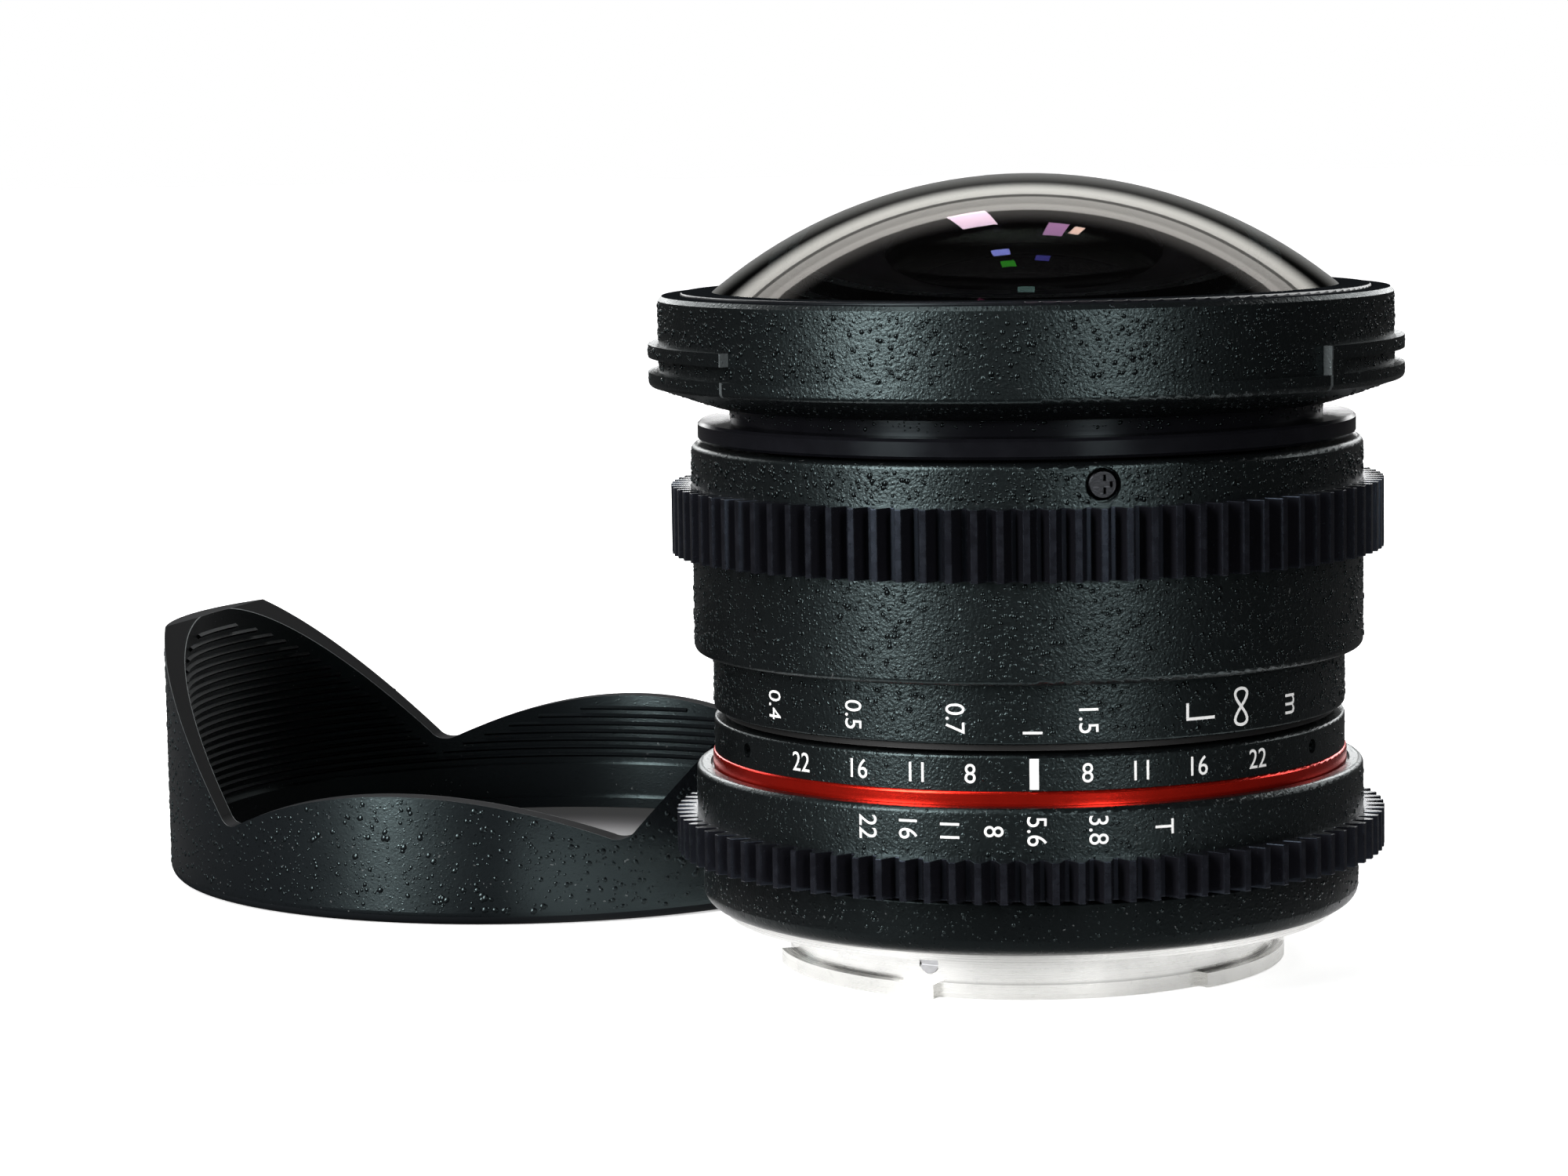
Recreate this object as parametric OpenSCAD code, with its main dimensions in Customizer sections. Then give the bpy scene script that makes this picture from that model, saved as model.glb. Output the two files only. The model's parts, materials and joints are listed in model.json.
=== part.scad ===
// Manual cine fisheye lens standing on its camera bayonet, front glass up.
// Its petal hood is set down beside it.
// The lens axis is Z. Z = 0 is the rear face of the bayonet. The index line faces -Y.
// Angles are counted from the index line, positive towards +X.

/* [Camera mount] */
// Rear face of the bayonet to the seat of the flange
bayonet_depth = 5.2; // [4:0.1:7]
// Outside diameter of the bayonet barrel
bayonet_d = 51.8; // [48:0.1:52.4]
// Wall of the bayonet barrel
bayonet_wall = 2.4; // [1.6:0.1:3]
// Diameter over the three bayonet lugs
lug_d = 54; // [53:0.1:56]
// Thickness of a bayonet lug
lug_t = 1.5; // [1:0.1:2]
// Angle that one lug covers
lug_angle = 56.6; // [40:0.1:70]
// Diameter of the mount flange
flange_d = 65; // [64:0.1:66]
// Thickness of the mount flange
flange_t = 1; // [0.9:0.1:1.6]
// Bolt circle of the mount screws
mount_pcd = 60.8; // [59.8:0.1:61.4]

/* [Rear barrel] */
// Outside diameter of the black base
base_d = 69.7; // [68:0.1:72]
// Height of the base
base_h = 5.45; // [4.5:0.05:7]
// Rounding of the base's lower edge
base_round = 1.6; // [0.4:0.1:2]

/* [Control rings] */
// Diameter of the aperture ring and the focus ring
ring_d = 70.8; // [70.4:0.1:74]
// Height of the aperture ring
aperture_ring_h = 9.2; // [8.5:0.05:12]
// Face width of the aperture gear
aperture_gear_w = 4.15; // [3:0.05:5.5]
// Module of both gears
gear_module = 0.8; // [0.6:0.1:1]
// How far the tooth roots stand above the rings
gear_proud = 0.4; // [0.2:0.1:1]
// Depth of the seat that a gear is pushed on to
gear_seat = 0.8; // [0.5:0.1:1.2]
// How far the two bands with the scales lie below the rings
band_step = 1.95; // [1.4:0.05:2.4]
// How far the red ring stands out of the bands
red_proud = 0.2; // [0.1:0.05:0.6]
// Height of the red ring that shows above the aperture ring
red_h = 1.45; // [1:0.05:2]
// Height of the index ring
index_h = 3.6; // [3:0.1:5]
// Open groove between the index ring and the focus ring
focus_groove = 1; // [0.6:0.1:1.6]
// Height of the distance scale
scale_h = 6.1; // [5:0.1:8]
// Height of the focus ring's grip, scale left out
grip_h = 21.9; // [20:0.1:26]
// Face width of the focus gear
focus_gear_w = 7.2; // [6:0.1:8]
// Height of the cap ring above the focus gear
focus_cap_h = 4.3; // [3.6:0.05:5]
// Rounding of the ring edges
ring_round = 0.6; // [0.3:0.1:0.8]

/* [Sleeves] */
// Wall of the focus ring behind the distance scale
focus_wall = 1; // [0.8:0.1:1.2]
// Wall of the cam sleeve
sleeve_wall = 1.9; // [1.6:0.1:2.2]
// Wall of the fixed barrel
fixed_wall = 2.6; // [2:0.1:3]
// Wall of the spigot that joins the fixed barrel to the rear barrel
spigot_wall = 1.05; // [0.8:0.05:1.2]
// Wall of the sliding lens barrel
barrel_wall = 1.6; // [1.2:0.1:2]
// Radius of a cam roller
roller_r = 1.5; // [1.2:0.1:1.8]

/* [Front] */
// How far the smooth disc above the focus ring lies below the rings
disc_step = 0.7; // [0.4:0.05:1.5]
// Height of the disc
disc_h = 2.05; // [1.6:0.05:3]
// How far the neck under the rim lies below the disc
neck_step = 3.45; // [2.5:0.05:4]
// Height of the neck
neck_h = 3.7; // [3:0.1:6]
// Diameter of the front rim
rim_d = 77.3; // [76.5:0.1:80]
// Height of the front rim
rim_h = 9.5; // [9:0.1:11]
// How far the hood lugs and the lower flange stand out of the rim
rim_lip = 1.1; // [0.8:0.1:1.5]
// Height of the lower flange of the rim
rim_flange_h = 1.6; // [1.2:0.1:2]
// Height of the rim's sloping underside
rim_slope_h = 2; // [1:0.1:2.6]
// Height of the groove that takes the hood's tabs
hood_groove_h = 1.55; // [1.4:0.05:1.9]
// Height of a hood lug
hood_lug_h = 1.35; // [1:0.05:1.6]
// Angle from the index line to the near end of each hood lug
hood_lug_start = 50; // [45:0.5:60]
// Bevel on the rim's top edge
rim_bevel = 0.5; // [0.2:0.1:0.7]
// Diameter of the glass that shows inside the bezel
dome_d = 65.8; // [64:0.1:67]
// Height of the dome above the bezel
dome_h = 11.9; // [11:0.1:13]
// Width of the bezel
bezel_w = 3.4; // [2.6:0.1:3.6]
// How far the bezel stands above the rim
bezel_proud = 0.3; // [0.1:0.1:0.6]

/* [Optics] */
// Thickness of the front element at its middle
front_glass_t = 4; // [3:0.1:5]
// Radius of the front element's hollow rear face
front_glass_rear_r = 23; // [22.6:0.1:24]
// Radius of the second element's edge
element_2_r = 19; // [18.7:0.1:19.2]
// Radius of the third element's edge
element_3_r = 12.5; // [12:0.1:12.9]
// Radius of the front doublet's edge
front_doublet_r = 10; // [9.7:0.1:10.2]
// Radius of the doublet behind the diaphragm
middle_doublet_r = 7.5; // [7.2:0.1:7.8]
// Radius of the eighth element's edge
element_8_r = 8.5; // [8.2:0.1:8.8]
// Radius of the rear doublet's edge
rear_doublet_r = 10; // [9.7:0.1:10.2]
// Wall of the two lens cells
cell_wall = 1.6; // [1.4:0.1:1.9]

/* [Diaphragm] */
// Radius of the blade pivots from the lens axis
pivot_r = 10; // [9.8:0.1:10.3]
// Radius of the opening with the blades drawn back
open_r = 4.7; // [4.2:0.1:5]
// Width of a blade
blade_w = 3.6; // [3:0.1:3.8]
// Thickness of a blade
blade_t = 0.2; // [0.1:0.05:0.3]
// Height of the layer that each blade turns in
blade_pitch = 0.4; // [0.35:0.05:0.5]
// Angle that a blade turns over the whole aperture scale
blade_swing = 22; // [16:0.5:23]
// Distance from a blade's pivot to its drive pin
crank = 3; // [2.6:0.1:3.3]

/* [Scales] */
// Turn of the aperture ring from the photographed setting to wide open
aperture_open = 10; // [8:1:16]
// Turn of the aperture ring from the photographed setting to the smallest opening
aperture_shut = 28; // [20:1:32]
// Turn of the focus ring from the photographed setting to infinity
focus_far = 39; // [30:1:50]
// Turn of the focus ring from the photographed setting to the nearest distance
focus_near = 86; // [60:1:100]

/* [Hood] */
// Height of the two tall petals
hood_h = 29.5; // [24:0.5:36]
// Height of the two low petals at their crest
crest_h = 14.5; // [12:0.5:18]
// Height of the notches between the petals
notch_h = 8.8; // [8:0.1:11]
// Wall of the petals
hood_wall = 2.4; // [1.8:0.1:3.2]
// Wall of the collar that slips over the rim
collar_wall = 3.4; // [3:0.1:5]
// Height of the collar
collar_h = 5.5; // [4:0.1:7]
// Turn of the hood on the table
hood_turn = -13; // [-45:1:45]
// Direction from the lens to the hood, from straight behind towards -X
hood_side = 46; // [20:1:80]
// Room between the hood and the lens
hood_room = 1; // [1:0.5:30]

/* [Hidden] */
$fn = 96;
lens_fn = 180;

// Clearances: seated pieces, turning pieces, and the overlap that fuses two shapes
fit = 0.05;
run = 0.3;
fuse = 0.1;

// Colours
black = [0.09, 0.09, 0.1];
satin = [0.05, 0.05, 0.055];
inner = [0.14, 0.14, 0.15];
chrome = [0.8, 0.8, 0.8];
steel = [0.55, 0.55, 0.57];
brass = [0.75, 0.6, 0.3];
red = [0.75, 0.03, 0.05];
glass = [0.35, 0.3, 0.4, 0.6];

// Heights of the outer stack
z_seat = bayonet_depth;
z_base = z_seat + flange_t;
z_base_top = z_base + base_h;
z_aperture = z_base_top + run;
z_aperture_top = z_aperture + aperture_ring_h;
red_sink = 0.4;
z_red = z_aperture_top - red_sink;
z_index = z_aperture_top + red_h;
z_index_top = z_index + index_h;
z_focus = z_index_top + focus_groove;
z_grip = z_focus + scale_h;
z_focus_top = z_grip + grip_h;
z_cap = z_focus_top - focus_cap_h;
z_focus_gear = z_cap - focus_gear_w;
z_disc = z_focus_top + run + fit;
z_neck = z_disc + disc_h;
z_rim = z_neck + neck_h;
z_rim_top = z_rim + rim_h;
z_bezel_top = z_rim_top + bezel_proud;

// Radii of the rings and sleeves, from the outside in
r_ring = ring_d / 2;
r_disc = r_ring - disc_step;
r_neck = r_disc - neck_step;
r_band = r_ring - band_step;
r_red = r_band + red_proud;
r_shell = r_band - focus_wall;
r_sleeve = r_shell - fit;
r_sleeve_in = r_sleeve - sleeve_wall;
r_fixed = r_sleeve_in - run;
r_fixed_in = r_fixed - fixed_wall;
r_barrel = r_fixed_in - run - fit;
r_barrel_in = r_barrel - barrel_wall;
journal_step = 0.8;
r_journal = r_fixed + journal_step;
r_spigot = r_fixed_in + spigot_wall;
r_journal_in = r_spigot + fit;
r_gear_seat = r_ring - gear_seat;

// Gears: as many teeth as put the roots just above the ring
dedendum = 1.25;
gear_teeth = ceil((ring_d + 2 * gear_proud) / gear_module + 2 * dedendum - 0.01);
gear_pitch_r = gear_module * gear_teeth / 2;
gear_tip_r = gear_pitch_r + gear_module;
gear_root_r = gear_pitch_r - dedendum * gear_module;
pressure_angle = 20;

// Mount details
lug_first = 70.2;
lug_step = 120;
barrel_step = 0.2;
r_bayonet = bayonet_d / 2;
r_bayonet_in = r_bayonet - bayonet_wall;
mount_screw_first = 45;
mount_screw_r = 0.85;
mount_head_r = 1.3;
mount_head_h = 0.6;
mount_screw_l = 4;
lock_slot_angle = 110;
lock_slot_r = 1.1;
baffle_screw_angle = -23.6;
baffle_screw_z = (lug_t + z_seat) / 2;
baffle_screw_r = 0.6;
baffle_head_r = 1;
baffle_head_t = 0.8;
slot_w = 0.3;
baffle_t = 0.8;
baffle_open_r = 14;

// Rear barrel
floor_t = 2;
r_floor = r_bayonet_in + fixed_wall;
pin_r = 1;
z_pin = z_aperture + aperture_gear_w + pin_r;
pin_angle = 180;
pin_depth = 1.6;
pin_play = 3;

// Focus drive
z_sleeve = z_index_top + run;
sleeve_top_gap = 0.6;
z_sleeve_top = z_focus_top - sleeve_top_gap;
retainer_t = 0.9;
z_retainer = z_sleeve_top - retainer_t - sleeve_top_gap;
retainer_lap = 1;
focus_travel = 0.25;
z_roller = (z_sleeve + z_retainer) / 2;
roller_depth = 0.8;
roller_screw_r = 0.8;
stop_r = 0.8;
stop_lift = 3.5;
z_stop = z_sleeve + stop_lift;
stop_angle = 90;
focus_screw_first = 12.3;
focus_screw_z = z_cap + focus_cap_h / 2;
focus_screw_r = 0.85;
focus_head_r = 1.6;
focus_head_t = 1;
head_room = 0.2;
head_bevel = 0.3;
spigot_gap = 1.2;
z_fixed = z_pin + pin_r + run + spigot_gap;
barrel_lift = 4.5;
z_barrel = z_fixed + barrel_lift;
barrel_seat = 1.25;
z_barrel_top = z_disc + barrel_seat;
neck_wall = 2.65;
index_screw_first = 60;
index_screw_r = 0.7;
index_screw_sink = 0.35;
z_index_screw = z_index + index_h / 2;

// Front group, all of it placed from the rim
r_rim = rim_d / 2;
r_rim_lip = r_rim + rim_lip;
z_groove = z_rim + rim_flange_h;
slope_room = 1.6;
slope_land = 0.4;
r_slope = r_neck + slope_room;
z_hood_lug = z_groove + hood_groove_h;
z_hood_lug_top = z_hood_lug + hood_lug_h;
hood_stop_angle = 3.4;
r_dome = dome_d / 2;
r_bezel = r_dome + bezel_w;
dome_radius = (r_dome * r_dome + dome_h * dome_h) / (2 * dome_h);
z_apex = z_bezel_top + dome_h;
dome_center = z_apex - dome_radius;
glass_lap = 0.7;
r_glass = r_dome + glass_lap;
glass_seat_h = 3.1;
z_glass = z_rim + glass_seat_h;
glass_edge_h = 2.1;
bezel_h = 2.6;
z_bezel = z_bezel_top - bezel_h;
rear_hollow_z = z_apex - front_glass_t - front_glass_rear_r;
glass_chamfer_w = 3.6;
glass_chamfer_r = r_glass - glass_chamfer_w;
r_bezel_seat = r_glass + fit;
z_bezel_seat = dome_center + sqrt(pow(dome_radius + fit, 2) - pow(r_bezel_seat, 2));

// Second element
ledge_2_w = 3;
el2_lift = 1.65;
z_el2 = z_rim + el2_lift;
el2_shoulder = 1.4;
el2_edge_h = 2.45;
el2_collar_w = 1.05;
el2_retainer_h = 0.8;
el2_front_R = 28;
el2_rear_R = 11.5;
el2_rear_open = 10.8;
z_el2_shoulder = z_el2 + el2_edge_h;

// Cells hang from the web of the lens barrel
web_drop = 17.7;
z_web = z_rim - web_drop;
web_t = 2;
r_web_hole = 8.6;
cell_flange_t = 1.4;
cell_flange_w = 4.3;
r_front_cell = element_3_r + fit + cell_wall;
el3_seat_lift = 12.2;
z_el3_seat = z_web + el3_seat_lift;
el3_top_lift = 17.75;
z_el3_top = z_web + el3_top_lift;
el3_retainer_w = 1.3;
el3_retainer_h = 0.9;
z_front_cell_top = z_el3_top + el3_retainer_h;
el3_front_R = 60;
el3_rear_R = 24;
el3_flat_w = 2;
el3_front_lift = 16.4;
z_el3_front = z_web + el3_front_lift;
fd_seat_lift = 3.5;
z_fd_seat = z_web + fd_seat_lift;
fd_ledge_w = 1.4;
el4_front_lift = 9.4;
z_el4_front = z_web + el4_front_lift;
fd_joint_lift = 4.8;
z_fd_joint = z_web + fd_joint_lift;
el5_rear_lift = 3;
z_el5_rear = z_web + el5_rear_lift;
el4_R = 22;
fd_joint_R = 40;
el5_R = 60;
fd_retainer_w = 1.1;
fd_retainer_h = 1;

// Diaphragm
z_iris_top = z_web - web_t;
housing_floor_t = 0.8;
iris_t = 1;
blades = 6;
iris_lift = 1;
z_iris = z_iris_top - iris_lift - iris_t;
blade_stack = blades * blade_pitch;
z_blades = z_iris - blade_stack - blade_pitch / 2;
hole_play = 0.1;
z_housing = z_blades - housing_floor_t - hole_play;
pivot_pin_r = 0.45;
drive_pin_r = 0.45;
slot_play = 0.25;
iris_w = 4.2;
iris_inset = 1.3;
r_iris_in = pivot_r - iris_inset;
r_iris = r_iris_in + iris_w;
r_housing_in = r_iris + run;
housing_wall = 1.8;
r_housing = r_housing_in + housing_wall;
housing_margin = 0.7;
housing_hole_r = open_r + housing_margin;
blade_ratio = blade_swing / (aperture_open + aperture_shut);
blade_rest = aperture_open * blade_ratio;
blade_span = 150;
blade_root = 9;
root_w = 2.4;
root_lap = 0.7;
eye_r = 1.3;
arm_r = 1;
finger_w = 5;
finger_t = 1.4;
finger_gap = 2;
finger_lap = 0.6;
r_finger = r_housing + finger_gap;
pin_tip_r = r_finger - run - fuse;
z_finger = z_pin - 2.5 * pin_r;
slot_points = 12;

// Rear cell
z_rc_top = z_housing;
rc_flange_t = 1.2;
r_rear_cell = rear_doublet_r + fit + cell_wall;
el6_front_drop = 1.6;
z_el6_front = z_rc_top - el6_front_drop;
md_joint_drop = 3;
z_md_joint = z_rc_top - md_joint_drop;
el7_rear_drop = 7.2;
z_el7_rear = z_rc_top - el7_rear_drop;
el6_R = 30;
md_joint_R = 14;
el7_R = 18;
md_ledge_w = 0.9;
md_seat_drop = 6.1;
z_md_seat = z_rc_top - md_seat_drop;
el8_seat_drop = 8.5;
z_el8_seat = z_rc_top - el8_seat_drop;
el8_front_drop = 8;
z_el8_front = z_rc_top - el8_front_drop;
el8_rear_drop = 11.8;
z_el8_rear = z_rc_top - el8_rear_drop;
el8_front_R = 40;
el8_rear_R = 25;
rd_bore_drop = 13.1;
z_rd_bore = z_rc_top - rd_bore_drop;
spacer_w = 0.9;
spacer_top_drop = 10.75;
z_spacer_top = z_rc_top - spacer_top_drop;
el9_front_drop = 12.8;
z_el9_front = z_rc_top - el9_front_drop;
rd_joint_drop = 18.2;
z_rd_joint = z_rc_top - rd_joint_drop;
el10_rear_drop = 20.2;
z_el10_rear = z_rc_top - el10_rear_drop;
el9_R = 50;
z_spacer = z_el9_front - sag(el9_R, element_8_r - spacer_w) + fit;
rd_joint_R = 16;
el10_R = 45;
rear_retainer_w = 1.4;
rear_retainer_h = 1.2;
rear_retainer_drop = 19.5;
z_rear_retainer_top = z_rc_top - rear_retainer_drop;
rc_skirt = 0.5;
z_rc = z_rear_retainer_top - rear_retainer_h - rc_skirt;

// Hood, set down beside the lens
collar_r = r_rim_lip + run;
hood_r = collar_r + collar_wall;
petal_r = hood_r - hood_wall;
hood_round = 1.5;
tab_reach = r_rim_lip - r_rim;
tab_t = hood_groove_h - run;
tab_angle = 70;
hood_away = hood_r + max(gear_tip_r, r_rim_lip) + hood_room;
hood_x = -hood_away * sin(hood_side);
hood_y = hood_away * cos(hood_side);
notch_angle = 33.6;
petal_angle = 70;
notch_round = 2;
notch_lap = 0.02;
notch_x = hood_r * sin(notch_angle);
petal_x = hood_r * sin(petal_angle);
crest_R = (notch_x * notch_x + pow(crest_h - notch_h, 2)) / (2 * (crest_h - notch_h));
crest_center = [0, crest_h - crest_R];
flank = atan2(hood_h - notch_h, petal_x - notch_x);
flank_u = [cos(flank), sin(flank)];
flank_n = [-sin(flank), cos(flank)];
notch = [notch_x, notch_h];
notch_w = notch + notch_round * flank_n - crest_center;
notch_t = sqrt(pow(notch_w * flank_u, 2) - notch_w * notch_w + pow(crest_R + notch_round, 2))
    - notch_w * flank_u;
notch_c = notch + notch_round * flank_n + notch_t * flank_u;
notch_on_flank = notch + notch_t * flank_u;
notch_on_crest = crest_center + (notch_c - crest_center) * crest_R / (crest_R + notch_round);

// Height lost by a sphere of radius R at radius r from its pole
function sag(R, r) = R - sqrt(R * R - r * r);

// A point at radius r and angle a, counted from +X
function polar(r, a) = [r * cos(a), r * sin(a)];

// A point turned by a about the origin
function turned(p, a) = [p.x * cos(a) - p.y * sin(a), p.x * sin(a) + p.y * cos(a)];

// Shared shapes

module tube(r_in, r_out, z0, z1) {
    translate([0, 0, z0]) difference() {
        cylinder(r = r_out, h = z1 - z0);
        translate([0, 0, -fuse]) cylinder(r = r_in, h = z1 - z0 + 2 * fuse);
    }
}

module revolve(points) {
    rotate_extrude() polygon(points);
}

// Half section of a ring whose outer edges are rounded
module rounded_section(r_in, r_out, z0, z1, low = 0, high = 0) {
    translate([r_in, z0 + low]) square([r_out - r_in, z1 - z0 - low - high]);
    if (low > 0) {
        translate([r_in, z0]) square([r_out - r_in - low, low + fuse]);
        translate([r_out - low, z0 + low]) circle(low);
    }
    if (high > 0) {
        translate([r_in, z1 - high - fuse]) square([r_out - r_in - high, high + fuse]);
        translate([r_out - high, z1 - high]) circle(high);
    }
}

// Part of a ring between two angles
module sector(r_in, r_out, z0, z1, from, to) {
    rotate([0, 0, from - 90]) rotate_extrude(angle = to - from)
        translate([r_in, z0]) square([r_out - r_in, z1 - z0]);
}

// Lays the children's Z axis outwards along a radius
module radial(angle, z) {
    rotate([0, 0, angle - 90]) translate([0, 0, z]) rotate([0, 90, 0]) children();
}

module radial_rod(angle, z, r, from, to) {
    radial(angle, z) translate([0, 0, from]) cylinder(r = r, h = to - from);
}

// Lens from two spherical faces. A positive radius bulges towards +Z, on both faces.
module lens(r, z_front, R_front, z_rear, R_rear) {
    z_high = R_front > 0 ? z_front : z_front + sag(-R_front, r);
    z_low = R_rear < 0 ? z_rear : z_rear - sag(R_rear, r);
    difference() {
        intersection() {
            translate([0, 0, z_low]) cylinder(r = r, h = z_high - z_low);
            if (R_front > 0) ball(z_front, R_front);
            if (R_rear < 0) ball(z_rear, R_rear);
        }
        if (R_front < 0) ball(z_front, R_front);
        if (R_rear > 0) ball(z_rear, R_rear);
    }
}

// Sphere whose pole lies at height z
module ball(z, R) {
    translate([0, 0, z - R]) sphere(r = abs(R), $fn = lens_fn);
}

// Camera mount

module mount_bayonet() {
    color(chrome) difference() {
        union() {
            revolve([
                [r_bayonet_in, 0], [r_bayonet - barrel_step, 0],
                [r_bayonet - barrel_step, 2 * lug_t], [r_bayonet, 2 * lug_t],
                [r_bayonet, z_seat], [flange_d / 2, z_seat],
                [flange_d / 2, z_base], [r_bayonet_in, z_base]
            ]);
            for (i = [0:2]) {
                middle = lug_first + i * lug_step;
                sector(r_bayonet - 1, lug_d / 2, 0, lug_t, middle - lug_angle / 2, middle + lug_angle / 2);
            }
        }
        mount_screw_places() {
            cylinder(r = mount_screw_r + fit, h = z_base + 1);
            cylinder(r = mount_head_r + fit, h = z_seat + mount_head_h);
        }
        rotate([0, 0, lock_slot_angle]) translate([mount_pcd / 2, 0, 0])
            cylinder(r = lock_slot_r, h = z_base + 1);
        baffle_screw_places() {
            translate([0, 0, r_bayonet_in - 1]) cylinder(r = baffle_screw_r + fit, h = bayonet_wall + 2);
            translate([0, 0, r_bayonet - baffle_head_t]) cylinder(r = baffle_head_r + fit, h = 2);
        }
    }
}

module mount_screw_places() {
    for (i = [0:3]) rotate([0, 0, mount_screw_first + i * 90]) translate([mount_pcd / 2, 0, 0]) children();
}

module mount_screws() {
    color(steel) mount_screw_places() difference() {
        union() {
            translate([0, 0, z_seat]) cylinder(r = mount_head_r, h = mount_head_h);
            translate([0, 0, z_seat]) cylinder(r = mount_screw_r, h = mount_head_h + mount_screw_l);
        }
        cross_recess(mount_head_r, z_seat);
    }
}

// Cross slot cut upwards into a screw head that faces down
module cross_recess(head_r, z) {
    for (a = [0, 90]) rotate([0, 0, a])
        translate([-0.6 * head_r, -slot_w / 2, z - 1]) cube([1.2 * head_r, slot_w, 1 + slot_w]);
}

module baffle_screw_places() {
    for (i = [0:2]) radial(baffle_screw_angle + i * lug_step, baffle_screw_z) children();
}

module baffle_screws() {
    color(steel) baffle_screw_places() difference() {
        union() {
            translate([0, 0, r_bayonet_in - baffle_t - fit])
                cylinder(r = baffle_screw_r, h = bayonet_wall + baffle_t - baffle_head_t + 2 * fit);
            translate([0, 0, r_bayonet - baffle_head_t + fit])
                cylinder(r = baffle_head_r, h = baffle_head_t - 3 * fit);
        }
        translate([-slot_w / 2, -2 * baffle_head_r, r_bayonet - slot_w])
            cube([slot_w, 4 * baffle_head_r, 1]);
    }
}

// Light shield that closes the throat around the last glass
module rear_baffle() {
    wall_r = r_bayonet_in - fit;
    color(inner) difference() {
        revolve([
            [wall_r - baffle_t, baffle_t], [wall_r, baffle_t], [wall_r, z_base], [baffle_open_r, z_base],
            [baffle_open_r, z_base - baffle_t], [wall_r - baffle_t, z_base - baffle_t]
        ]);
        baffle_screw_places() translate([0, 0, wall_r - 2 * baffle_t])
            cylinder(r = baffle_screw_r + fit, h = 3 * baffle_t);
    }
}

// Fixed barrels

module rear_barrel() {
    color(black) difference() {
        union() {
            rotate_extrude() rounded_section(r_floor, base_d / 2, z_base, z_base_top, base_round, run);
            tube(r_journal_in, r_journal, z_base + floor_t, z_index);
        }
        translate([0, 0, z_base + floor_t]) cylinder(r = r_journal_in, h = z_index);
        mount_screw_places()
            cylinder(r = mount_screw_r + fit, h = z_seat + mount_head_h + mount_screw_l + fit);
        sector(r_journal_in - 1, r_journal + 1, z_pin - pin_r - run, z_pin + pin_r + run,
            pin_angle - aperture_open - pin_play, pin_angle + aperture_shut + pin_play);
    }
}

module fixed_barrel() {
    color(inner) difference() {
        revolve([
            [r_fixed_in, z_fixed], [r_spigot, z_fixed], [r_spigot, z_index], [r_fixed, z_index],
            [r_fixed, z_retainer], [r_fixed_in, z_retainer]
        ]);
        for (i = [0:2]) radial(i * 120, z_roller)
            translate([-roller_r - run - focus_travel, -roller_r - run, r_fixed_in - 1])
                cube([2 * (roller_r + run + focus_travel), 2 * (roller_r + run), fixed_wall + 2]);
        radial_rod(stop_angle, z_stop, stop_r + fit, r_fixed_in - 1, r_fixed + 1);
    }
}

module index_ring() {
    color(black) difference() {
        rotate_extrude() rounded_section(r_fixed + fit, r_band, z_index, z_index_top, 0, run);
        for (i = [0:2])
            radial_rod(index_screw_first + i * 120, z_index_screw, index_screw_r + fit, r_fixed, r_ring);
    }
}

module index_set_screws() {
    tip = r_band - index_screw_sink;
    color(steel) for (i = [0:2]) difference() {
        radial_rod(index_screw_first + i * 120, z_index_screw, index_screw_r, r_fixed + fit, tip);
        radial(index_screw_first + i * 120, z_index_screw)
            translate([-slot_w / 2, -1, tip - slot_w]) cube([slot_w, 2, 1]);
    }
}

module red_ring() {
    color(red) rotate_extrude() rounded_section(r_journal + fit, r_red, z_red, z_index, run, run);
}

// Pin that meets the ends of the slot in the cam sleeve
module focus_stop_pin() {
    color(steel) radial_rod(stop_angle, z_stop, stop_r, r_fixed_in + run, r_sleeve - run);
}

module focus_retaining_ring() {
    r_out = r_sleeve_in + retainer_lap - run;
    color(inner) tube(r_fixed_in + fit, r_out, z_retainer, z_retainer + retainer_t);
}

// Aperture control

module aperture_ring() {
    groove_r = r_red + run;
    color(black) difference() {
        rotate_extrude() rounded_section(r_journal + run, r_ring, z_aperture, z_aperture_top, 0, ring_round);
        tube(r_gear_seat, r_ring + 1, z_aperture - 1, z_aperture + aperture_gear_w);
        tube(r_journal, groove_r, z_red - run, z_aperture_top + 1);
        radial_rod(pin_angle, z_pin, pin_r + fit, r_journal, r_journal + run + pin_depth);
    }
}

// Straight-flanked teeth at the pressure angle
function tooth_half(r) = (PI * gear_module / 4 - (r - gear_pitch_r) * tan(pressure_angle)) / r * 180 / PI;

module gear_ring(z, w) {
    step = 360 / gear_teeth;
    tip = tooth_half(gear_tip_r);
    root = tooth_half(gear_root_r);
    outline = [
        for (i = [0:gear_teeth - 1])
            each [
                polar(gear_root_r, i * step - root), polar(gear_tip_r, i * step - tip),
                polar(gear_tip_r, i * step + tip), polar(gear_root_r, i * step + root)
            ]
    ];
    translate([0, 0, z]) difference() {
        linear_extrude(w) polygon(outline);
        translate([0, 0, -1]) cylinder(r = r_gear_seat + fit, h = w + 2);
    }
}

module aperture_gear() {
    color(satin) gear_ring(z_aperture, aperture_gear_w);
}

module aperture_drive_pin() {
    color(steel) radial_rod(pin_angle, z_pin, pin_r, pin_tip_r, r_journal + run + pin_depth - fit);
}

// Focus control

module focus_ring() {
    color(black) difference() {
        rotate_extrude() {
            rounded_section(r_shell, r_band, z_focus, z_grip + fuse, run, 0);
            rounded_section(r_shell, r_ring, z_grip, z_focus_gear, ring_round, 0);
            translate([r_shell, z_focus_gear - fuse]) square([r_gear_seat - r_shell, focus_gear_w + fuse]);
        }
    }
}

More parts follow.
